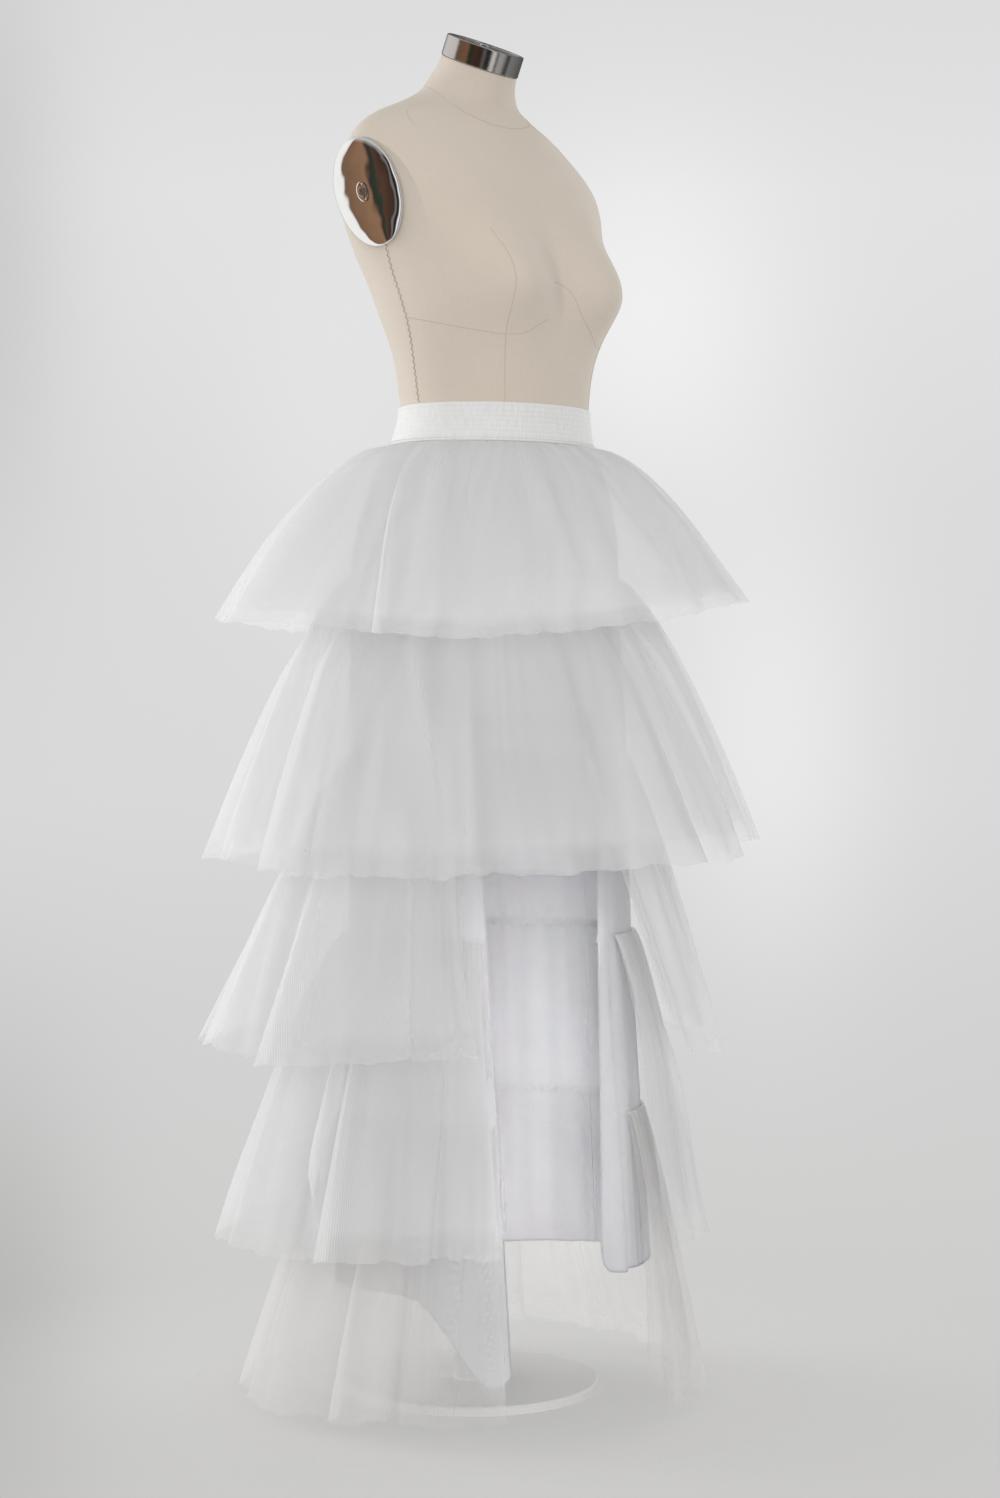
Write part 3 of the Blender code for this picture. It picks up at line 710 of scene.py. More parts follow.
def blank(name):
    """A material's empty shader tree, and a function that gives it a surface and returns it."""
    material = bpy.data.materials.new(name)
    material.use_nodes = True
    tree = material.node_tree
    tree.nodes.clear()
    output = tree.nodes.new("ShaderNodeOutputMaterial")

    def finished(surface):
        tree.links.new(surface.outputs[0], output.inputs["Surface"])
        return material

    return tree, finished


def tinted(tree, share, low, high):
    """A colour between two, by a share that varies over the surface."""
    mix = node(tree, "ShaderNodeMix", {
        "Factor": share, "A": (*low, 1), "B": (*high, 1),
    }, data_type="RGBA")
    return mix.outputs["Result"]


def bumped(tree, height, distance, strength=1.0):
    return node(tree, "ShaderNodeBump", {
        "Height": height, "Distance": distance, "Strength": strength,
    }).outputs["Normal"]


def tulle_material(name, density, low, high):
    """White net, seen through in part: denser where it gathers and thinner at its cut edge."""
    tree, finished = blank(name)
    place = cloth_place(tree)
    threads = group_node(tree, GROUPS["net"], Vector=place, Pitch=NET_PITCH)["Threads"]
    worn = node(tree, "ShaderNodeAttribute", attribute_name="edge").outputs["Fac"]
    low_cover, high_cover = ((1 - NET_CONTRAST) * density, (1 + NET_CONTRAST) * density)
    holed = mapped(tree, threads, 0, 1, low_cover, high_cover)
    cover = times(tree, worn, holed, clamp=True)
    colour = tinted(tree, noise(tree, place, 7.0, 0.0), low, high)
    surface = principled(tree, {
        "Base Color": colour, "Roughness": 0.9, "Specular IOR Level": 0.0,
    })
    cloth = let_through(tree, surface, colour, 0.5)
    return finished(mixed(tree, cover, node(tree, "ShaderNodeBsdfTransparent"), cloth))


def lining_material():
    """Smooth close-woven lining, white with a cold tint."""
    tree, finished = blank("lining_cloth")
    place = cloth_place(tree)
    weave = group_node(tree, GROUPS["weave"], Vector=place, Thread=0.0006)
    wide = group_node(tree, GROUPS["streaks"], Vector=place, Across=14.0, Down=3.0)["Streaks"]
    colour = tinted(tree, wide, (0.93, 0.93, 0.95), (0.96, 0.96, 0.975))
    surface = principled(tree, {
        "Base Color": colour, "Roughness": mapped(tree, wide, 0, 1, 0.50, 0.60),
        "Sheen Weight": 0.2, "Specular IOR Level": 0.35,
        "Normal": bumped(tree, weave["Height"], 0.00008, 0.5),
    })
    return finished(let_through(tree, surface, colour, 0.45))


def elastic_material():
    """Ribbed elastic: fine cords across, and short rubber ripples between them."""
    tree, finished = blank("elastic_cloth")
    place = cloth_place(tree)
    weave = group_node(tree, GROUPS["weave"], Vector=place, Thread=0.0009)
    ripples = group_node(tree, GROUPS["streaks"], Vector=place, Across=420.0, Down=60.0)["Streaks"]
    height = plus(tree, weave["Height"], ripples)
    return finished(principled(tree, {
        "Base Color": tinted(tree, ripples, (0.80, 0.80, 0.79), (0.88, 0.88, 0.87)),
        "Roughness": 0.8, "Sheen Weight": 0.3, "Normal": bumped(tree, height, 0.0002, 0.6),
    }))


def linen_material():
    """Cream linen pulled tight over the form, with slubs and a little uneven tone."""
    tree, finished = blank("cream_linen")
    weave = group_node(tree, GROUPS["weave"], Vector=cloth_place(tree), Thread=0.0008)
    blotch = noise(tree, solid_place(tree), 9.0, 4.0)
    tone = plus(tree, times(tree, weave["Slubs"], 0.5), times(tree, blotch, 0.5))
    height = plus(tree, weave["Height"], weave["Slubs"])
    return finished(principled(tree, {
        "Base Color": tinted(tree, tone, (0.675, 0.592, 0.500), (0.750, 0.668, 0.575)),
        "Roughness": mapped(tree, tone, 0, 1, 0.75, 0.9), "Sheen Weight": 0.25,
        "Specular IOR Level": 0.3, "Normal": bumped(tree, height, 0.00025, 0.6),
    }))


def thread_material(name, colour, rough):
    """Twisted sewing thread; the form's seam lines use it with a darker colour that is painted shade of
    the seams' grooves.
    """
    tree, finished = blank(name)
    twist = noise(tree, solid_place(tree), 900.0)
    dark = tuple(0.82 * c for c in colour)
    return finished(principled(tree, {
        "Base Color": tinted(tree, twist, dark, colour), "Roughness": rough,
        "Normal": bumped(tree, twist, 0.0001, 0.5),
    }))


def steel_material():
    """Steel brushed round its edge, with faint scratches."""
    tree, finished = blank("brushed_steel_cap")
    lines = noise(tree, stretched(tree, solid_place(tree), (40.0, 40.0, 1600.0)), 1.0, 4.0)
    return finished(principled(tree, {
        "Base Color": tinted(tree, lines, (0.42, 0.40, 0.385), (0.57, 0.55, 0.53)),
        "Metallic": 1.0, "Roughness": mapped(tree, lines, 0.3, 0.7, 0.10, 0.20),
        "Normal": bumped(tree, lines, 0.00004, 0.4),
    }))


def chrome_material():
    """Mirror chrome, pressed a little wavy, with a faint film of handling marks."""
    tree, finished = blank("polished_chrome")
    place = solid_place(tree)
    film = noise(tree, place, 60.0, 5.0)
    return finished(principled(tree, {
        "Base Color": tinted(tree, film, (0.80, 0.79, 0.78), (0.88, 0.88, 0.87)),
        "Metallic": 1.0, "Roughness": mapped(tree, film, 0.3, 0.8, 0.03, 0.10),
        "Normal": bumped(tree, noise(tree, place, 34.0, 1.0), 0.0022),
    }))


def paint_material():
    """Off-white satin paint, with a fine orange peel and a little dust."""
    tree, finished = blank("off_white_paint")
    place = solid_place(tree)
    dust = noise(tree, place, 14.0, 6.0)
    return finished(principled(tree, {
        "Base Color": tinted(tree, dust, PAINT_LOW, PAINT_HIGH),
        "Roughness": mapped(tree, dust, 0.3, 0.7, 0.52, 0.70),
        "Normal": bumped(tree, noise(tree, place, 500.0), 0.0001, 0.3),
    }))


def floor_material():
    """Pale seamless floor round the stand, clear towards the horizon."""
    tree, finished = blank("pale_floor")
    place = solid_place(tree)
    reach = node(tree, "ShaderNodeVectorMath", {0: place}, operation="LENGTH").outputs["Value"]
    return finished(principled(tree, {
        "Base Color": tinted(tree, noise(tree, place, 3.0, 5.0), FLOOR_TONES[0], FLOOR_TONES[1]),
        "Roughness": 0.9, "Specular IOR Level": 0.1,
        "Alpha": mapped(tree, reach, FLOOR_SOLID, FLOOR_CLEAR, FLOOR_COVER, 0.0),
    }))


# Tulle: where it is used, and each layer's cover and range of tone; the lowest tier's tulle is a darker
# copy, painted shade of the light falling off towards the floor
TULLE_LOOKS = (
    ("tulle", (("outer", 0.57, (0.94, 0.94, 0.94), (0.97, 0.97, 0.97)),
               ("inner", 0.53, (0.93, 0.93, 0.94), (0.96, 0.96, 0.97)))),
    ("low_tulle_painted_shade", (("outer", 0.54, (0.88, 0.87, 0.86), (0.91, 0.905, 0.90)),
                   ("inner", 0.48, (0.88, 0.87, 0.86), (0.91, 0.905, 0.90)))),
)
NET_PITCH = 0.0009
NET_CONTRAST = 0.14
PAINT_LOW, PAINT_HIGH = (0.82, 0.815, 0.805), (0.87, 0.865, 0.855)

FLOOR_RADIUS = 3.0
FLOOR_SOLID = 0.20
FLOOR_CLEAR = 0.80
FLOOR_COVER = 0.46
FLOOR_TONES = ((0.66, 0.653, 0.640), (0.69, 0.683, 0.670))

THREAD_TREE = thread_tree()
GROUPS = {"net": net_group(), "streaks": streak_group(), "weave": weave_group()}
TULLE, LOW_TULLE_PAINTED_SHADE = (
    {word: tulle_material(f"{where}_{word}", *looks) for word, *looks in rows}
    for where, rows in TULLE_LOOKS
)
LINING = lining_material()
ELASTIC = elastic_material()
LINEN = linen_material()
WHITE_THREAD = thread_material("white_thread", (0.80, 0.80, 0.82), 0.6)
CREAM_THREAD = thread_material("cream_thread", (0.42, 0.33, 0.24), 0.7)
# The seam lines' darker brown is painted shade of the shallow grooves along the form's seams.
SEAM_SHADE_THREAD = thread_material("seam_shade_thread", (0.60, 0.51, 0.41), 0.7)
STEEL = steel_material()
CHROME = chrome_material()
PAINT = paint_material()


# The camera stands where the photo's stood
VIEW_AZIMUTH = -50.0
VIEW_DISTANCE = 3.4
VIEW_HEIGHT = 0.839
IMAGE_HEIGHT = 1498
IMAGE_MIDDLE = (500, 749)
HORIZON_ROW = 680
FORM_COLUMN = 495
FOCAL_PIXELS = 2890
SENSOR = 36.0


def make_camera():
    data = bpy.data.cameras.new("camera")
    data.sensor_width = SENSOR
    data.lens = FOCAL_PIXELS / IMAGE_HEIGHT * SENSOR
    data.clip_end = 100
    camera = linked("camera", data)
    a = math.radians(VIEW_AZIMUTH)
    camera.location = (math.sin(a) * VIEW_DISTANCE, -math.cos(a) * VIEW_DISTANCE, VIEW_HEIGHT)
    down = math.atan((IMAGE_MIDDLE[1] - HORIZON_ROW) / FOCAL_PIXELS)
    aside = math.atan((IMAGE_MIDDLE[0] - FORM_COLUMN) / FOCAL_PIXELS)
    camera.rotation_euler = (math.pi / 2 - down, 0, a - aside)
    bpy.context.scene.camera = camera


# The tulle tiers


def crease_apart(angle, seam_angle, hem_angle, drop):
    """Degrees from a crease that runs from one angle at the seam to another at the hem."""
    hem_angle += 360 * round((seam_angle - hem_angle) / 360)
    at = seam_angle + (hem_angle - seam_angle) * drop
    return (angle - at + 180) % 360 - 180


def crease_hold(drop, top, foot):
    """How much of a crease there is at each place down the cloth."""
    held = eased_step(drop, top, top + 0.25) if top > 0 else 0.35 + 0.65 * eased_step(drop, 0, 0.3)
    if foot < 1:
        held = held * (1 - eased_step(drop, foot - 0.2, foot))
    return held * (0.4 + 0.6 * drop)


def tulle_layer(number, layer):
    """One layer of one tier, on the form of the tier's solid."""
    tier = TIERS[number]
    word, seam_out, hem_out, length, large, columns = LAYERS[layer]
    rng = np.random.default_rng(100 * number + 7 * layer + 3)
    closed = tier.end[0] - tier.start[0] == 360
    share = np.linspace(0, 1, columns, endpoint=not closed)[None, :]
    drop = (np.linspace(0, 1, SHEET_ROWS) ** 1.25)[:, None]
    turn = share * tier.folds
    laid = tier_angle(number, turn, drop)
    if not closed:
        slip = rng.normal(0, 0.9, 4)
        sway = np.sin(5 * drop + rng.random() * 6) * drop
        laid = laid + (1 - share) ** 8 * (slip[0] + slip[1] * sway)
        laid = laid + share**8 * (slip[2] + slip[3] * sway)
    angle, rises = laid, 0
    for which, seam_angle, hem_angle, rise, before, after, top, foot in CREASES:
        if which != number:
            continue
        apart = crease_apart(laid, seam_angle, hem_angle, drop)
        held = crease_hold(drop, top, foot)
        rises = rises + rise * held * hump(apart, np.where(apart < 0, before, after))
        if min(before, after) < SHARP_SIDE:
            lean = -1 if before < after else 1
            angle = angle + lean * FOLD_OVER * held * hump(apart, FOLD_OVER_WIDTH)
    a = np.radians(angle)
    seam, middle = lining_radius(angle, np.full_like(angle, tier.seam_z))
    down = drop * length + EDGE_STRAY * ragged(share, rng) * drop**8
    deep = 1 + 0.28 * np.sin(5 * a + 1.7 * number) + 0.18 * np.sin(11 * a + 0.6 * number)
    coarse = tier.depth * deep * (SEAM_FOLD_SHARE + (1 - SEAM_FOLD_SHARE) * drop)
    bend = 0.55 * layer * np.sin(2 * math.pi * (3 * share + rng.random()))
    folds = large * coarse * np.cos(2 * math.pi * (turn + bend))
    depth, deeper, count = GATHERS
    folds = folds + (depth + deeper * drop) * ripple(share, drop, count * tier.folds, rng)
    depth, count = SEAM_PLEATS
    folds = folds + depth * (1 - drop) ** 7 * ripple(share, drop, count * tier.folds, rng, 0.3)
    hem = swing(angle, *tier.hem_r) + hem_out
    start = seam + seam_out
    radius = start + (hem - start) * down ** tier.spring + folds + rises
    radius = np.maximum(radius, seam + 0.0006)
    z = tier.seam_z + (swing(angle, *tier.hem_z) - tier.seam_z) * down
    points = round_body(angle, radius, middle * (1 - drop), z)
    cut_width, cut_length = TIER_CUTS[number]
    across = np.linspace(0, cut_width, columns + 1 if closed else columns)[None, :]
    fade = 1 - EDGE_WEAR * eased_step(drop, 0.91, 1.0) + SEAM_DENSER * (1 - drop) ** 6
    fade = fade * (1 + 0.10 * ripple(share, drop, 0.8 * tier.folds, rng, 0.4))
    fade = fade * (1 + 0.03 * ripple(share, drop, 2.6 * tier.folds, rng, 0.6))
    for which, at, wide, thinner in THIN_PLACES:
        if which == number:
            apart = (angle - at + 180) % 360 - 180
            fade = fade * (1 - thinner * eased_step(drop, 0.0, 0.4) * hump(apart, wide))
    name = f"tulle_tier_{number + 1}_{word}"
    mesh = sheet_mesh(name, points, closed, across, drop[:, 0] * cut_length, fades=fade)
    # The lowest tier takes the darker copy of the same tulle: its colour is painted shade.
    finish = LOW_TULLE_PAINTED_SHADE[word] if number == len(TIERS) - 1 else TULLE[word]
    piece = new_piece(name, mesh, finish)
    if layer == 0:
        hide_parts(f"tulle_tier_{number + 1}")


# The lining

LINING_ROW_STEP = 0.013
LINING_SEAM_STEPS = (-0.008, -0.004, -0.002, 0.0, 0.002, 0.004, 0.008)
LINING_THICKNESS = 0.0005
LINING_RADIUS = 0.18
LINING_SIDE_RADIUS = 0.150


def lining_rows():
    """Each row's share of the way down: closer together at the seams of the tiers."""
    top = BAND_TOP_Z - BAND_HEIGHT - SEAM_GAP
    plain = np.arange(top, 0.16, -LINING_ROW_STEP)
    seams = [tier.seam_z + step for tier in TIERS[1:] for step in LINING_SEAM_STEPS]
    rows = np.array(sorted({*plain, *seams, SLIT_TOP_Z}, reverse=True))
    apart = np.abs(rows[:, None] - np.array(seams)[None, :]).min(1)
    slit = np.abs(rows - SLIT_TOP_Z)
    rows = rows[(apart < 1e-6) | (apart > 0.006) | (slit < 1e-6)]
    return np.concatenate((rows, [0.155, 0.150, LINING_HEM_Z]))


def lining_points(angles, rows, seed):
    """The lining's outside, with soft falls, and a pucker at each seam of a tier."""
    rng = np.random.default_rng(seed)
    top = rows[0]
    drop = ((top - rows) / (top - LINING_HEM_Z))[:, None]
    z = np.repeat(rows[:, None], angles.shape[1], 1)
    hang = eased_step(drop, 0.60, 1.0)
    z = z + hang * (lining_hem(angles) - LINING_HEM_Z)
    radius, middle = lining_radius(angles, z)
    share = (angles + 90) / 360
    falls = 0.0034 * eased_step(drop, 0.25, 0.9) * ripple(share, drop, 17, rng, 0.35)
    falls = falls + 0.0011 * eased_step(drop, 0.1, 0.5) * ripple(share, drop, 46, rng, 0.5)
    for tier in TIERS[2:]:
        near = np.exp(-(((rows - tier.seam_z) / 0.0028) ** 2))[:, None]
        below = np.exp(-(((rows - tier.seam_z) / 0.014) ** 2))[:, None]
        falls = falls - 0.0010 * near + 0.0009 * below * ripple(share, drop, 90, rng, 0.5)
    return round_body(angles, radius + falls - 0.0008, middle, z)


def finish_lining(name, mesh, node_name):
    piece = new_piece(name, mesh, LINING)
    wall = piece.modifiers.new("thickness", "SOLIDIFY")
    wall.thickness = LINING_THICKNESS
    wall.offset = -1
    plain_mesh(piece)
    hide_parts(node_name)


def make_lining():
    """The back panel, and the front one, which is open from the top of the slit to the hem."""
    rows = lining_rows()
    down = rows[0] - rows
    edge = math.degrees(SEAM_GAP / 2 / LINING_SIDE_RADIUS)
    angles = np.repeat(np.linspace(90 + edge, 270 - edge, 150)[None, :], len(rows), 0)
    mesh = sheet_mesh("lining_back_cloth", lining_points(angles, rows, 11), False,
                      np.radians(angles) * LINING_RADIUS, down)
    finish_lining("lining_back_cloth", mesh, "lining_back")
    way = np.clip((SLIT_TOP_Z - rows) / (SLIT_TOP_Z - LINING_HEM_Z), 0, 1)[:, None]
    right = SLIT_RIGHT[0] + (SLIT_RIGHT[1] - SLIT_RIGHT[0]) * way
    left = SLIT_LEFT[0] + (SLIT_LEFT[1] - SLIT_LEFT[0]) * way
    counts = (38, 44, 76)
    angles = np.concatenate([
        (-90 + edge) + (right - (-90 + edge)) * np.linspace(0, 1, counts[0], endpoint=False),
        right + (left - right) * np.linspace(0, 1, counts[1], endpoint=False),
        left + (90 - edge - left) * np.linspace(0, 1, counts[2]),
    ], axis=1)
    right_end, left_start = counts[0], counts[0] + counts[1]

    def cloth(i, j):
        return (rows[i] > SLIT_TOP_Z + 1e-6) | (j < right_end) | (j >= left_start)

    points = lining_points(angles, rows, 12)
    turned_up = eased_step(way, 0.93, 1.0) * (way > 0.965)
    lift = 0.022 * np.exp(-np.clip(angles - left, 0, None) / 2.2) * turned_up
    points[:, left_start:, 2] += lift[:, left_start:]
    mesh = sheet_mesh("lining_front_cloth", points, False, np.radians(angles) * LINING_RADIUS, down,
                      keep=cloth)
    finish_lining("lining_front_cloth", mesh, "lining_front")
    make_lining_sewing(rows, points, right_end, left_start)


def make_seam_allowances():
    """The puckered edges of cloth inside the lining, where the two lowest tiers are sewn on."""
    columns, deep, cut = 520, 0.0085, (1.0, 0.0105)
    for number in (3, 4):
        seam_z = TIERS[number].seam_z
        rng = np.random.default_rng(60 + number)
        way = (SLIT_TOP_Z - seam_z) / (SLIT_TOP_Z - LINING_HEM_Z)
        first = SLIT_LEFT[0] + (SLIT_LEFT[1] - SLIT_LEFT[0]) * way + 0.6
        last = 360 + SLIT_RIGHT[0] + (SLIT_RIGHT[1] - SLIT_RIGHT[0]) * way - 0.6
        share = np.linspace(0, 1, columns)[None, :]
        drop = np.linspace(0, 1, 5)[:, None]
        angles = first + (last - first) * share + 0 * drop
        z = seam_z + 0.0015 - deep * drop * (1 + 0.10 * ripple(share, drop, 60, rng, 0.4)) + 0 * share
        radius, middle = lining_radius(angles, z)
        pucker = 0.0011 * drop * np.clip(ripple(share, drop, 96, rng, 0.5), -1.6, 1.6)
        points = round_body(angles, radius - 0.0034 - 0.0022 * drop + pucker, middle, z)
        name = f"seam_allowance_{number + 1}"
        mesh = sheet_mesh(name, points, False, cut[0] * share, drop[:, 0] * deep)
        piece = new_piece(name, mesh, LINING)


def make_lining_sewing(rows, points, right_end, left_start):
    """The overlocked edges of the slit, and the stitch lines of the hems."""
    edges = [
        zigzag(points[rows <= SLIT_TOP_Z + 1e-6, column], 0.0022, sideways, 0)
        for column, sideways in ((right_end, -0.0022), (left_start, 0.0022))
    ]
    thread_piece("slit_overlocking", edges, 0.0004, WHITE_THREAD, 4)
    back = np.repeat(np.linspace(91, 269, 120)[None, :], len(rows), 0)
    hems = [
        zigzag(points[-1, : right_end + 1], 0.003, 0, 0.003),
        zigzag(points[-1, left_start:], 0.003, 0, 0.003),
        zigzag(lining_points(back, rows, 11)[-1], 0.003, 0, 0.003, 0),
    ]
    thread_piece("hem_overlocking", hems, 0.0004, WHITE_THREAD, 4)


# The waistband


def make_waistband():
    """Ribbed elastic, a little rippled, round the form, and doubled over at its top."""
    columns, rows = 420, 8 * RIB_COUNT + 1
    angles = np.linspace(0, 360, columns, endpoint=False)
    share = np.arange(columns) / columns
    rng = np.random.default_rng(5)
    ripples = ripple(share[None, :], np.zeros((1, 1)), 150, rng, 0.2)
    v = np.linspace(0, 1, rows)[:, None]
    heights = BAND_TOP_Z - WAIST_Z - BAND_HEIGHT * v
    rib = np.abs(np.sin(math.pi * RIB_COUNT * v)) ** 0.7
    edge = 1 - np.clip(1 - np.minimum(v, 1 - v) / 0.03, 0, 1) ** 2
    out = 0.0008 + 0.0009 * edge + 0.0007 * rib * edge + 0.00012 * ripples
    outside = form_points(angles[None, :], heights, out)
    inner_rows = np.linspace(1, 0, 9)[:, None]
    inside = form_points(angles[None, :], BAND_TOP_Z - WAIST_Z - BAND_HEIGHT * inner_rows, 0.0004)
    points = np.concatenate((outside, inside, outside[:1]))
    down = np.concatenate((v[:, 0], 2 - inner_rows[:, 0], [2.0])) * BAND_HEIGHT
    across = np.linspace(0, BAND_CUT[0], columns + 1)[None, :]
    mesh = sheet_mesh("waistband_elastic", points, True, across, down)
    with edited(mesh) as tube:
        bmesh.ops.remove_doubles(tube, verts=tube.verts, dist=1e-6)
        bmesh.ops.recalc_face_normals(tube, faces=tube.faces)
    mesh.shade_smooth()
    piece = new_piece("waistband_elastic", mesh, ELASTIC)
    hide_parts("waistband")
    sewn = BAND_TOP_Z - WAIST_Z - BAND_HEIGHT + 0.004
    paths = [form_points((angle, angle + 0.9), sewn, 0.0028) for angle in np.arange(0, 360, 1.5)]
    thread_piece("waistband_stitches", paths, 0.00035, WHITE_THREAD, 4)


# The form


def plate_normal():
    """Outwards from the wearer's right shoulder."""
    return -PLATE_UP.cross(PLATE_FORWARD).normalized()


def mirrored(vector, side):
    """A vector as it is for side 1, and mirrored from right to left for side -1."""
    return Vector((vector.x * side, vector.y, vector.z))


def plate_place(side, out):
    """A matrix from a flat disc's own axes to a shoulder, out from its flat by a distance."""
    normal, up = mirrored(plate_normal(), side), mirrored(PLATE_UP, side)
    place = Matrix((up, normal.cross(up), normal)).transposed().to_4x4()
    place.translation = mirrored(PLATE_MIDDLE, side) + out * normal
    return place


def make_torso():
    """The linen-covered torso, cut flat under each arm plate."""
    columns = 220
    angles = np.linspace(0, 360, columns, endpoint=False)
    low, high = FORM_RINGS[0][0], FORM_RINGS[-1][0]
    heights = np.concatenate((np.arange(low, 0.30, 0.0048), np.linspace(0.30, high, 40)))
    points = form_points(angles[None, :], heights[:, None])
    across = np.linspace(0, 0.9, columns + 1)[None, :]
    mesh = sheet_mesh("torso_cover", points, True, across, -heights)
    with edited(mesh) as cover:
        open_edges = [e for e in cover.edges if e.is_boundary]
        bmesh.ops.holes_fill(cover, edges=open_edges, sides=0)
        for side in (1, -1):
            cut = bmesh.ops.bisect_plane(
                cover,
                geom=[*cover.verts, *cover.edges, *cover.faces],
                plane_co=mirrored(PLATE_MIDDLE, side),
                plane_no=mirrored(plate_normal(), side),
                clear_outer=True,
            )
            rim = [e for e in cut["geom_cut"] if isinstance(e, bmesh.types.BMEdge)]
            bmesh.ops.contextual_create(cover, geom=rim)
        bmesh.ops.recalc_face_normals(cover, faces=cover.faces)
    mesh.shade_smooth()
    mesh.set_sharp_from_angle(angle=math.radians(40))
    piece = new_piece("torso_cover", mesh, LINEN)
    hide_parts("form_torso")


def seam_path(seam, side, spacing=0.003, out=0.0):
    """Points on the form's skin along a seam given by angles and heights."""
    dense = along([(side * angle, height) for angle, height in seam])
    return resampled(form_points(dense[:, 0], dense[:, 1], out), spacing)


def make_form_seams():
    """Sewn seams: a thin dark line sunk along each, painted shade of the seam's valley, and zigzag
    stitching down the sides.
    """
    lines = []
    for side in (1, -1):
        lines += [seam_path(seam, side) for seam in (PRINCESS_SEAM, SHOULDER_SEAM, NECK_SEAM)]
    lines += [seam_path(seam, 1) for seam in (RIGHT_CUP_SEAM, LEFT_CUP_SEAM, BACK_SEAM)]
    thread_piece("form_seams", lines, 0.00030, SEAM_SHADE_THREAD, 6)
    zigzags = []
    for side in (1, -1):
        chain = seam_path(SIDE_SEAM, side, 0.0036, 0.0002)
        sway = np.array((0, 1, 0)) * (np.where(np.arange(len(chain)) % 2, 1, -1) * 0.0016)[:, None]
        zigzags.append(chain + sway)
    thread_piece("side_seam_zigzags", zigzags, 0.0004, CREAM_THREAD, 5)


def rounded(radius, height, size):
    """The outer top edge of a turned profile, rounded over."""
    return [
        (radius - size + size * math.sin(t), height - size + size * math.cos(t))
        for t in np.linspace(0, math.pi / 2, 6)
    ]


def make_metal():
    """The neck cap, the arm plates and their socket screws."""
    radius, height, inner = CAP_RADIUS, CAP_HEIGHT, CAP_RADIUS - CAP_RIM
    top = height - CAP_RECESS
    foot = [(radius, 0.0010), (radius - 0.0006, 0.0003), (radius - 0.0012, 0.0), (0, 0)]
    stud = [(0, top + 0.003), (0.0045, top + 0.003), (0.0062, top + 0.0026), (0.0073, top + 0.0016),
            (0.0075, top + 0.0004), (0.0080, top)]
    profile = stud + [(inner - 0.0006, top), (inner, top + 0.0006), (inner, height - 0.0004),
                      (inner + 0.0004, height)] + rounded(radius, height, 0.0014) + foot
    row = eased(FORM_RINGS, FORM_RINGS[-1][0])
    place = Matrix.Rotation(math.radians(row[5]), 4, "X")
    axis = place @ Vector((0, 0, 1))
    place.translation = Vector((0, row[3], WAIST_Z + FORM_RINGS[-1][0])) + SEAM_GAP * axis
    cap = new_piece("neck_cap_steel", turned_mesh("neck_cap_steel", profile, 128, place), STEEL)
    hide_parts("neck_cap")
    for word, side in (("right", 1), ("left", -1)):
        washer = SCREW_RADIUS + 0.0006
        flat = washer + 0.0018
        turns = np.linspace(0, math.pi / 2, 40)[1:]
        raised = PLATE_DOME + 0.0005
        dome = [(0, PLATE_DOME), (washer, PLATE_DOME), (washer + 0.0002, raised),
                (washer + 0.0012, raised), (washer + 0.0015, PLATE_DOME), (flat, PLATE_DOME)]
        dome += [(flat + (PLATE_HALF_WIDTH - flat) * math.sin(t),
                  PLATE_EDGE + (PLATE_DOME - PLATE_EDGE) * max(math.cos(t), 0) ** DOME_CURVE)
                 for t in turns]
        dome += [(PLATE_HALF_WIDTH, 0.0008), (PLATE_HALF_WIDTH - 0.0008, 0), (0, 0)]
        stretch = Matrix.Diagonal((PLATE_HALF_HEIGHT / PLATE_HALF_WIDTH, 1, 1, 1))
        mesh = turned_mesh(f"arm_plate_{word}_dome", dome, 112, plate_place(side, SEAM_GAP) @ stretch,
                           60)
        plate = new_piece(f"arm_plate_{word}_dome", mesh, CHROME)
        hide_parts(f"arm_plate_{word}")
        socket, floor = SCREW_RADIUS * 0.45, SCREW_HEIGHT * 0.3
        head = [(0, floor), (socket, floor), (socket, SCREW_HEIGHT - 0.0002),
                (socket + 0.0002, SCREW_HEIGHT)]
        head += [*rounded(SCREW_RADIUS, SCREW_HEIGHT, 0.0012), (SCREW_RADIUS, 0), (0, 0)]
        mesh = turned_mesh(f"arm_screw_{word}_head", head, 48,
                           plate_place(side, PLATE_DOME + 2 * SEAM_GAP))
        screw = new_piece(f"arm_screw_{word}_head", mesh, STEEL)
        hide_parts(f"arm_screw_{word}")


def finish_stand():
    """The stand keeps the shape of its solids, and gets its paint."""
    for name in ("stand_foot", "stand_pole", "stand_flange"):
        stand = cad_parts[name]
        stand.data.materials.clear()
        stand.data.materials.append(PAINT)


# The floor and the light

BACKDROP_TONES = (
    # rise above the level of the camera, tone
    (-0.290, (0.600, 0.595, 0.585)),
    (-0.245, (0.600, 0.597, 0.590)),
    (-0.175, (0.628, 0.627, 0.622)),
    (-0.110, (0.648, 0.648, 0.648)),
    (-0.040, (0.693, 0.693, 0.695)),
    (0.060, (0.706, 0.706, 0.708)),
    (0.130, (0.745, 0.745, 0.747)),
    (0.165, (0.758, 0.758, 0.760)),
    (0.225, (0.720, 0.720, 0.723)),
)
GLOWS = (
    # column and row of the photo, wide, tall, how much brighter
    (645, 330, 150, 190, 0.125),
    (770, 740, 115, 240, 0.120),
    (330, 450, 110, 190, 0.045),
    (-25, 230, 95, 300, -0.150),
    (-25, 1300, 120, 260, -0.130),
)
AMBIENT = 0.48
CEILING_TONE = (0.6, 0.6, 0.6)

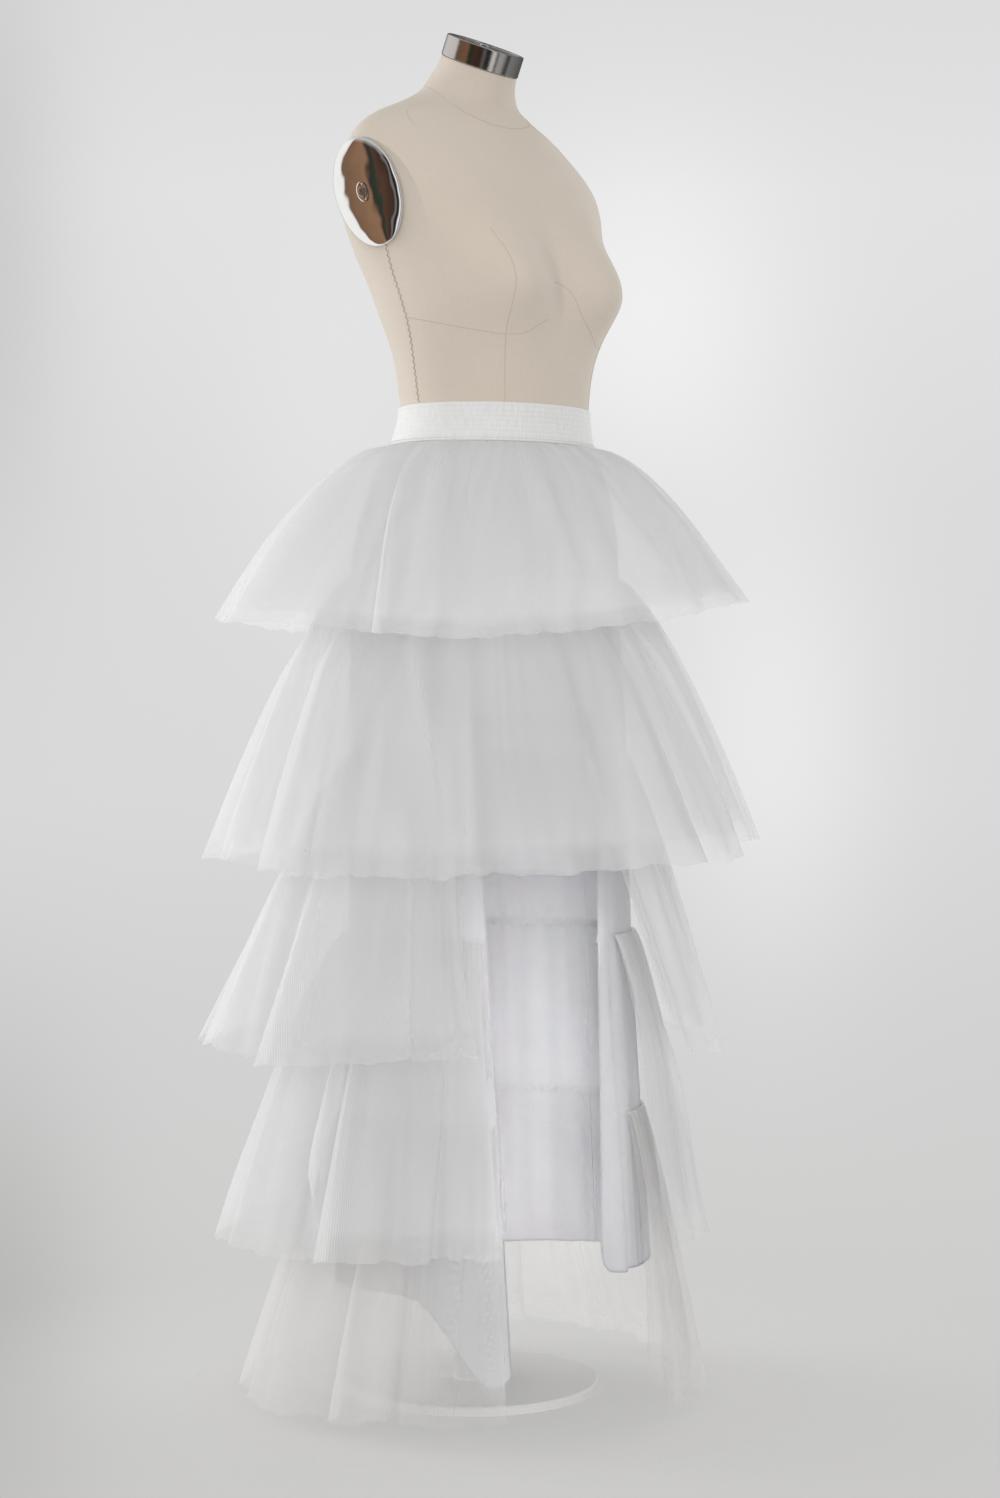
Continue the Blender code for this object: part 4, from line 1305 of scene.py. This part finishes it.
# What the metal mirrors: degrees from the photo's left towards its camera, colour or grey
ROOM_TONES = (
    (-180, 0.35), (-150, 0.25), (-120, 0.13), (-75, 0.14), (-55, 0.8), (-40, 1), (4, 1),
    (10, (0.9, 0.88, 0.86)), (15, (0.2, 0.12, 0.075)), (46, (0.3, 0.17, 0.1)),
    (53, (0.04, 0.035, 0.03)), (61, (0.03, 0.05, 0.035)), (66, (0.1, 0.05, 0.035)),
    (86, (0.05, 0.03, 0.022)), (94, (0.22, 0.21, 0.2)), (101, 0.02), (113, 0.03),
    (119, (0.95, 0.95, 0.94)), (127, (1, 1, 0.99)), (133, 0.06), (143, (0.6, 0.59, 0.58)),
    (157, (0.5, 0.49, 0.48)), (168, 0.1),
)


def make_floor():
    mesh = bpy.data.meshes.new("floor")
    with edited(mesh) as disc:
        bmesh.ops.create_circle(disc, cap_ends=True, segments=96, radius=FLOOR_RADIUS)
    mesh.materials.append(floor_material())
    floor = linked("floor", mesh)


def view_axes():
    """The photo's own directions in the scene: right, up and away from the camera."""
    turn = bpy.context.scene.camera.rotation_euler.to_matrix()
    return turn @ Vector((1, 0, 0)), turn @ Vector((0, 1, 0)), turn @ Vector((0, 0, -1))


def toned(tree, value, stops):
    """A colour by a value, from a table of (value, colour or grey)."""
    low, high = stops[0][0], stops[-1][0]
    ramp = node(tree, "ShaderNodeValToRGB", {"Fac": mapped(tree, value, low, high)})
    elements = ramp.color_ramp.elements
    while len(elements) > 1:
        elements.remove(elements[-1])
    for k, (at, colour) in enumerate(stops):
        place = (at - low) / (high - low)
        element = elements[0] if k == 0 else elements.new(place)
        element.position = place
        element.color = (*(colour if isinstance(colour, tuple) else 3 * (colour,)), 1)
    return ramp.outputs["Color"]


def make_world():
    """A pale backdrop with a soft glow, an even light, and a dimmer room for the metal to mirror."""
    world = bpy.data.worlds.new("studio")
    bpy.context.scene.world = world
    world.use_nodes = True
    tree = world.node_tree
    tree.nodes.clear()
    output = tree.nodes.new("ShaderNodeOutputWorld")
    look = node(tree, "ShaderNodeTexCoord").outputs["Generated"]
    right, up, away = view_axes()

    def facing(direction):
        return dotted(tree, look, tuple(direction))

    def apart(slope, middle, wide):
        """The square of how many widths a line of view is from a glow's middle."""
        off = math_node(tree, "SUBTRACT", slope, middle / FOCAL_PIXELS)
        return math_node(tree, "POWER", times(tree, off, FOCAL_PIXELS / wide), 2)

    ahead = math_node(tree, "MAXIMUM", facing(away), 0.05)
    column = math_node(tree, "DIVIDE", facing(right), ahead)
    row = math_node(tree, "DIVIDE", facing(up), ahead)
    total = None
    for at_column, at_row, wide, tall, strength in GLOWS:
        far = plus(tree, apart(column, at_column - IMAGE_MIDDLE[0], wide),
                   apart(row, IMAGE_MIDDLE[1] - at_row, tall))
        glow = times(tree, math_node(tree, "EXPONENT", times(tree, far, -1)), strength)
        total = glow if total is None else plus(tree, total, glow)
    base = toned(tree, facing((0, 0, 1)), BACKDROP_TONES)
    seen = node(tree, "ShaderNodeVectorMath", {0: base, 1: total}, operation="ADD").outputs[0]
    backdrop = node(tree, "ShaderNodeBackground", {"Color": seen})
    around = math_node(tree, "ARCTAN2", facing(-away), facing(-right))
    room = toned(tree, around, [(math.radians(at), colour) for at, colour in ROOM_TONES])
    overhead = mapped(tree, facing((0, 0, 1)), 0.60, 0.90)
    room = node(tree, "ShaderNodeMix", {
        "Factor": overhead, "A": room, "B": (*CEILING_TONE, 1),
    }, data_type="RGBA").outputs["Result"]
    mirror = node(tree, "ShaderNodeBackground", {"Color": room})
    even = node(tree, "ShaderNodeBackground", {"Color": (1.0, 1.0, 1.0, 1), "Strength": AMBIENT})
    path = node(tree, "ShaderNodeLightPath").outputs
    lit = mixed(tree, path["Is Glossy Ray"], even, mirror)
    both = mixed(tree, path["Is Camera Ray"], lit, backdrop)
    tree.links.new(both.outputs[0], output.inputs["Surface"])


LIGHTS = (
    # name, right, away, height, width, tall, power, spread, aimed right, aimed height, colour
    ("side_softbox", -2.6, 0.9, 1.25, 1.6, 2.2, 54.0, 180, 0.0, 0.85, (1.0, 1.0, 1.0)),
    ("front_fill", 0.5, -3.6, 1.25, 2.6, 2.2, 48.0, 180, 0.0, 0.85, (1.0, 0.99, 0.98)),
    ("back_glow", 1.8, 2.4, 1.15, 2.4, 2.2, 56.0, 180, 0.0, 0.85, (1.0, 1.0, 1.0)),
    ("top_light", -0.4, -0.6, 3.6, 2.6, 2.6, 13.0, 180, 0.0, 0.85, (1.0, 0.99, 0.98)),
    ("slit_light", 0.063, -1.9, 0.545, 0.10, 0.42, 0.12, 6, 0.063, 0.385, (1.0, 1.0, 1.0)),
)


def make_lights():
    right, _, away = view_axes()
    away = Vector((away.x, away.y, 0)).normalized()
    for name, aside, back, height, width, tall, power, spread, aim, aim_height, colour in LIGHTS:
        data = bpy.data.lights.new(name, "AREA")
        data.shape = "RECTANGLE"
        data.size, data.size_y = width, tall
        data.energy = power
        data.color = colour
        data.spread = math.radians(spread)
        data.cycles.use_multiple_importance_sampling = False
        light = linked(name, data)
        place = right * aside + away * back
        light.location = (place.x, place.y, height)
        target = Vector((right.x * aim, right.y * aim, aim_height))
        light.rotation_euler = (target - light.location).to_track_quat("-Z", "Y").to_euler()
        light.visible_camera = False
        light.visible_glossy = False


make_camera()
make_floor()
make_world()
make_lights()
make_torso()
make_form_seams()
make_metal()
finish_stand()
make_waistband()
make_lining()
make_seam_allowances()
for tier_number in range(len(TIERS)):
    for layer_number in range(len(LAYERS)):
        tulle_layer(tier_number, layer_number)

scene = bpy.context.scene
scene.view_settings.view_transform = "Standard"
scene.world.cycles.sampling_method = "NONE"
scene.cycles.caustics_reflective = False
scene.cycles.transparent_max_bounces = 32
scene.cycles.max_bounces = 5
scene.cycles.diffuse_bounces = 3
scene.cycles.transmission_bounces = 4
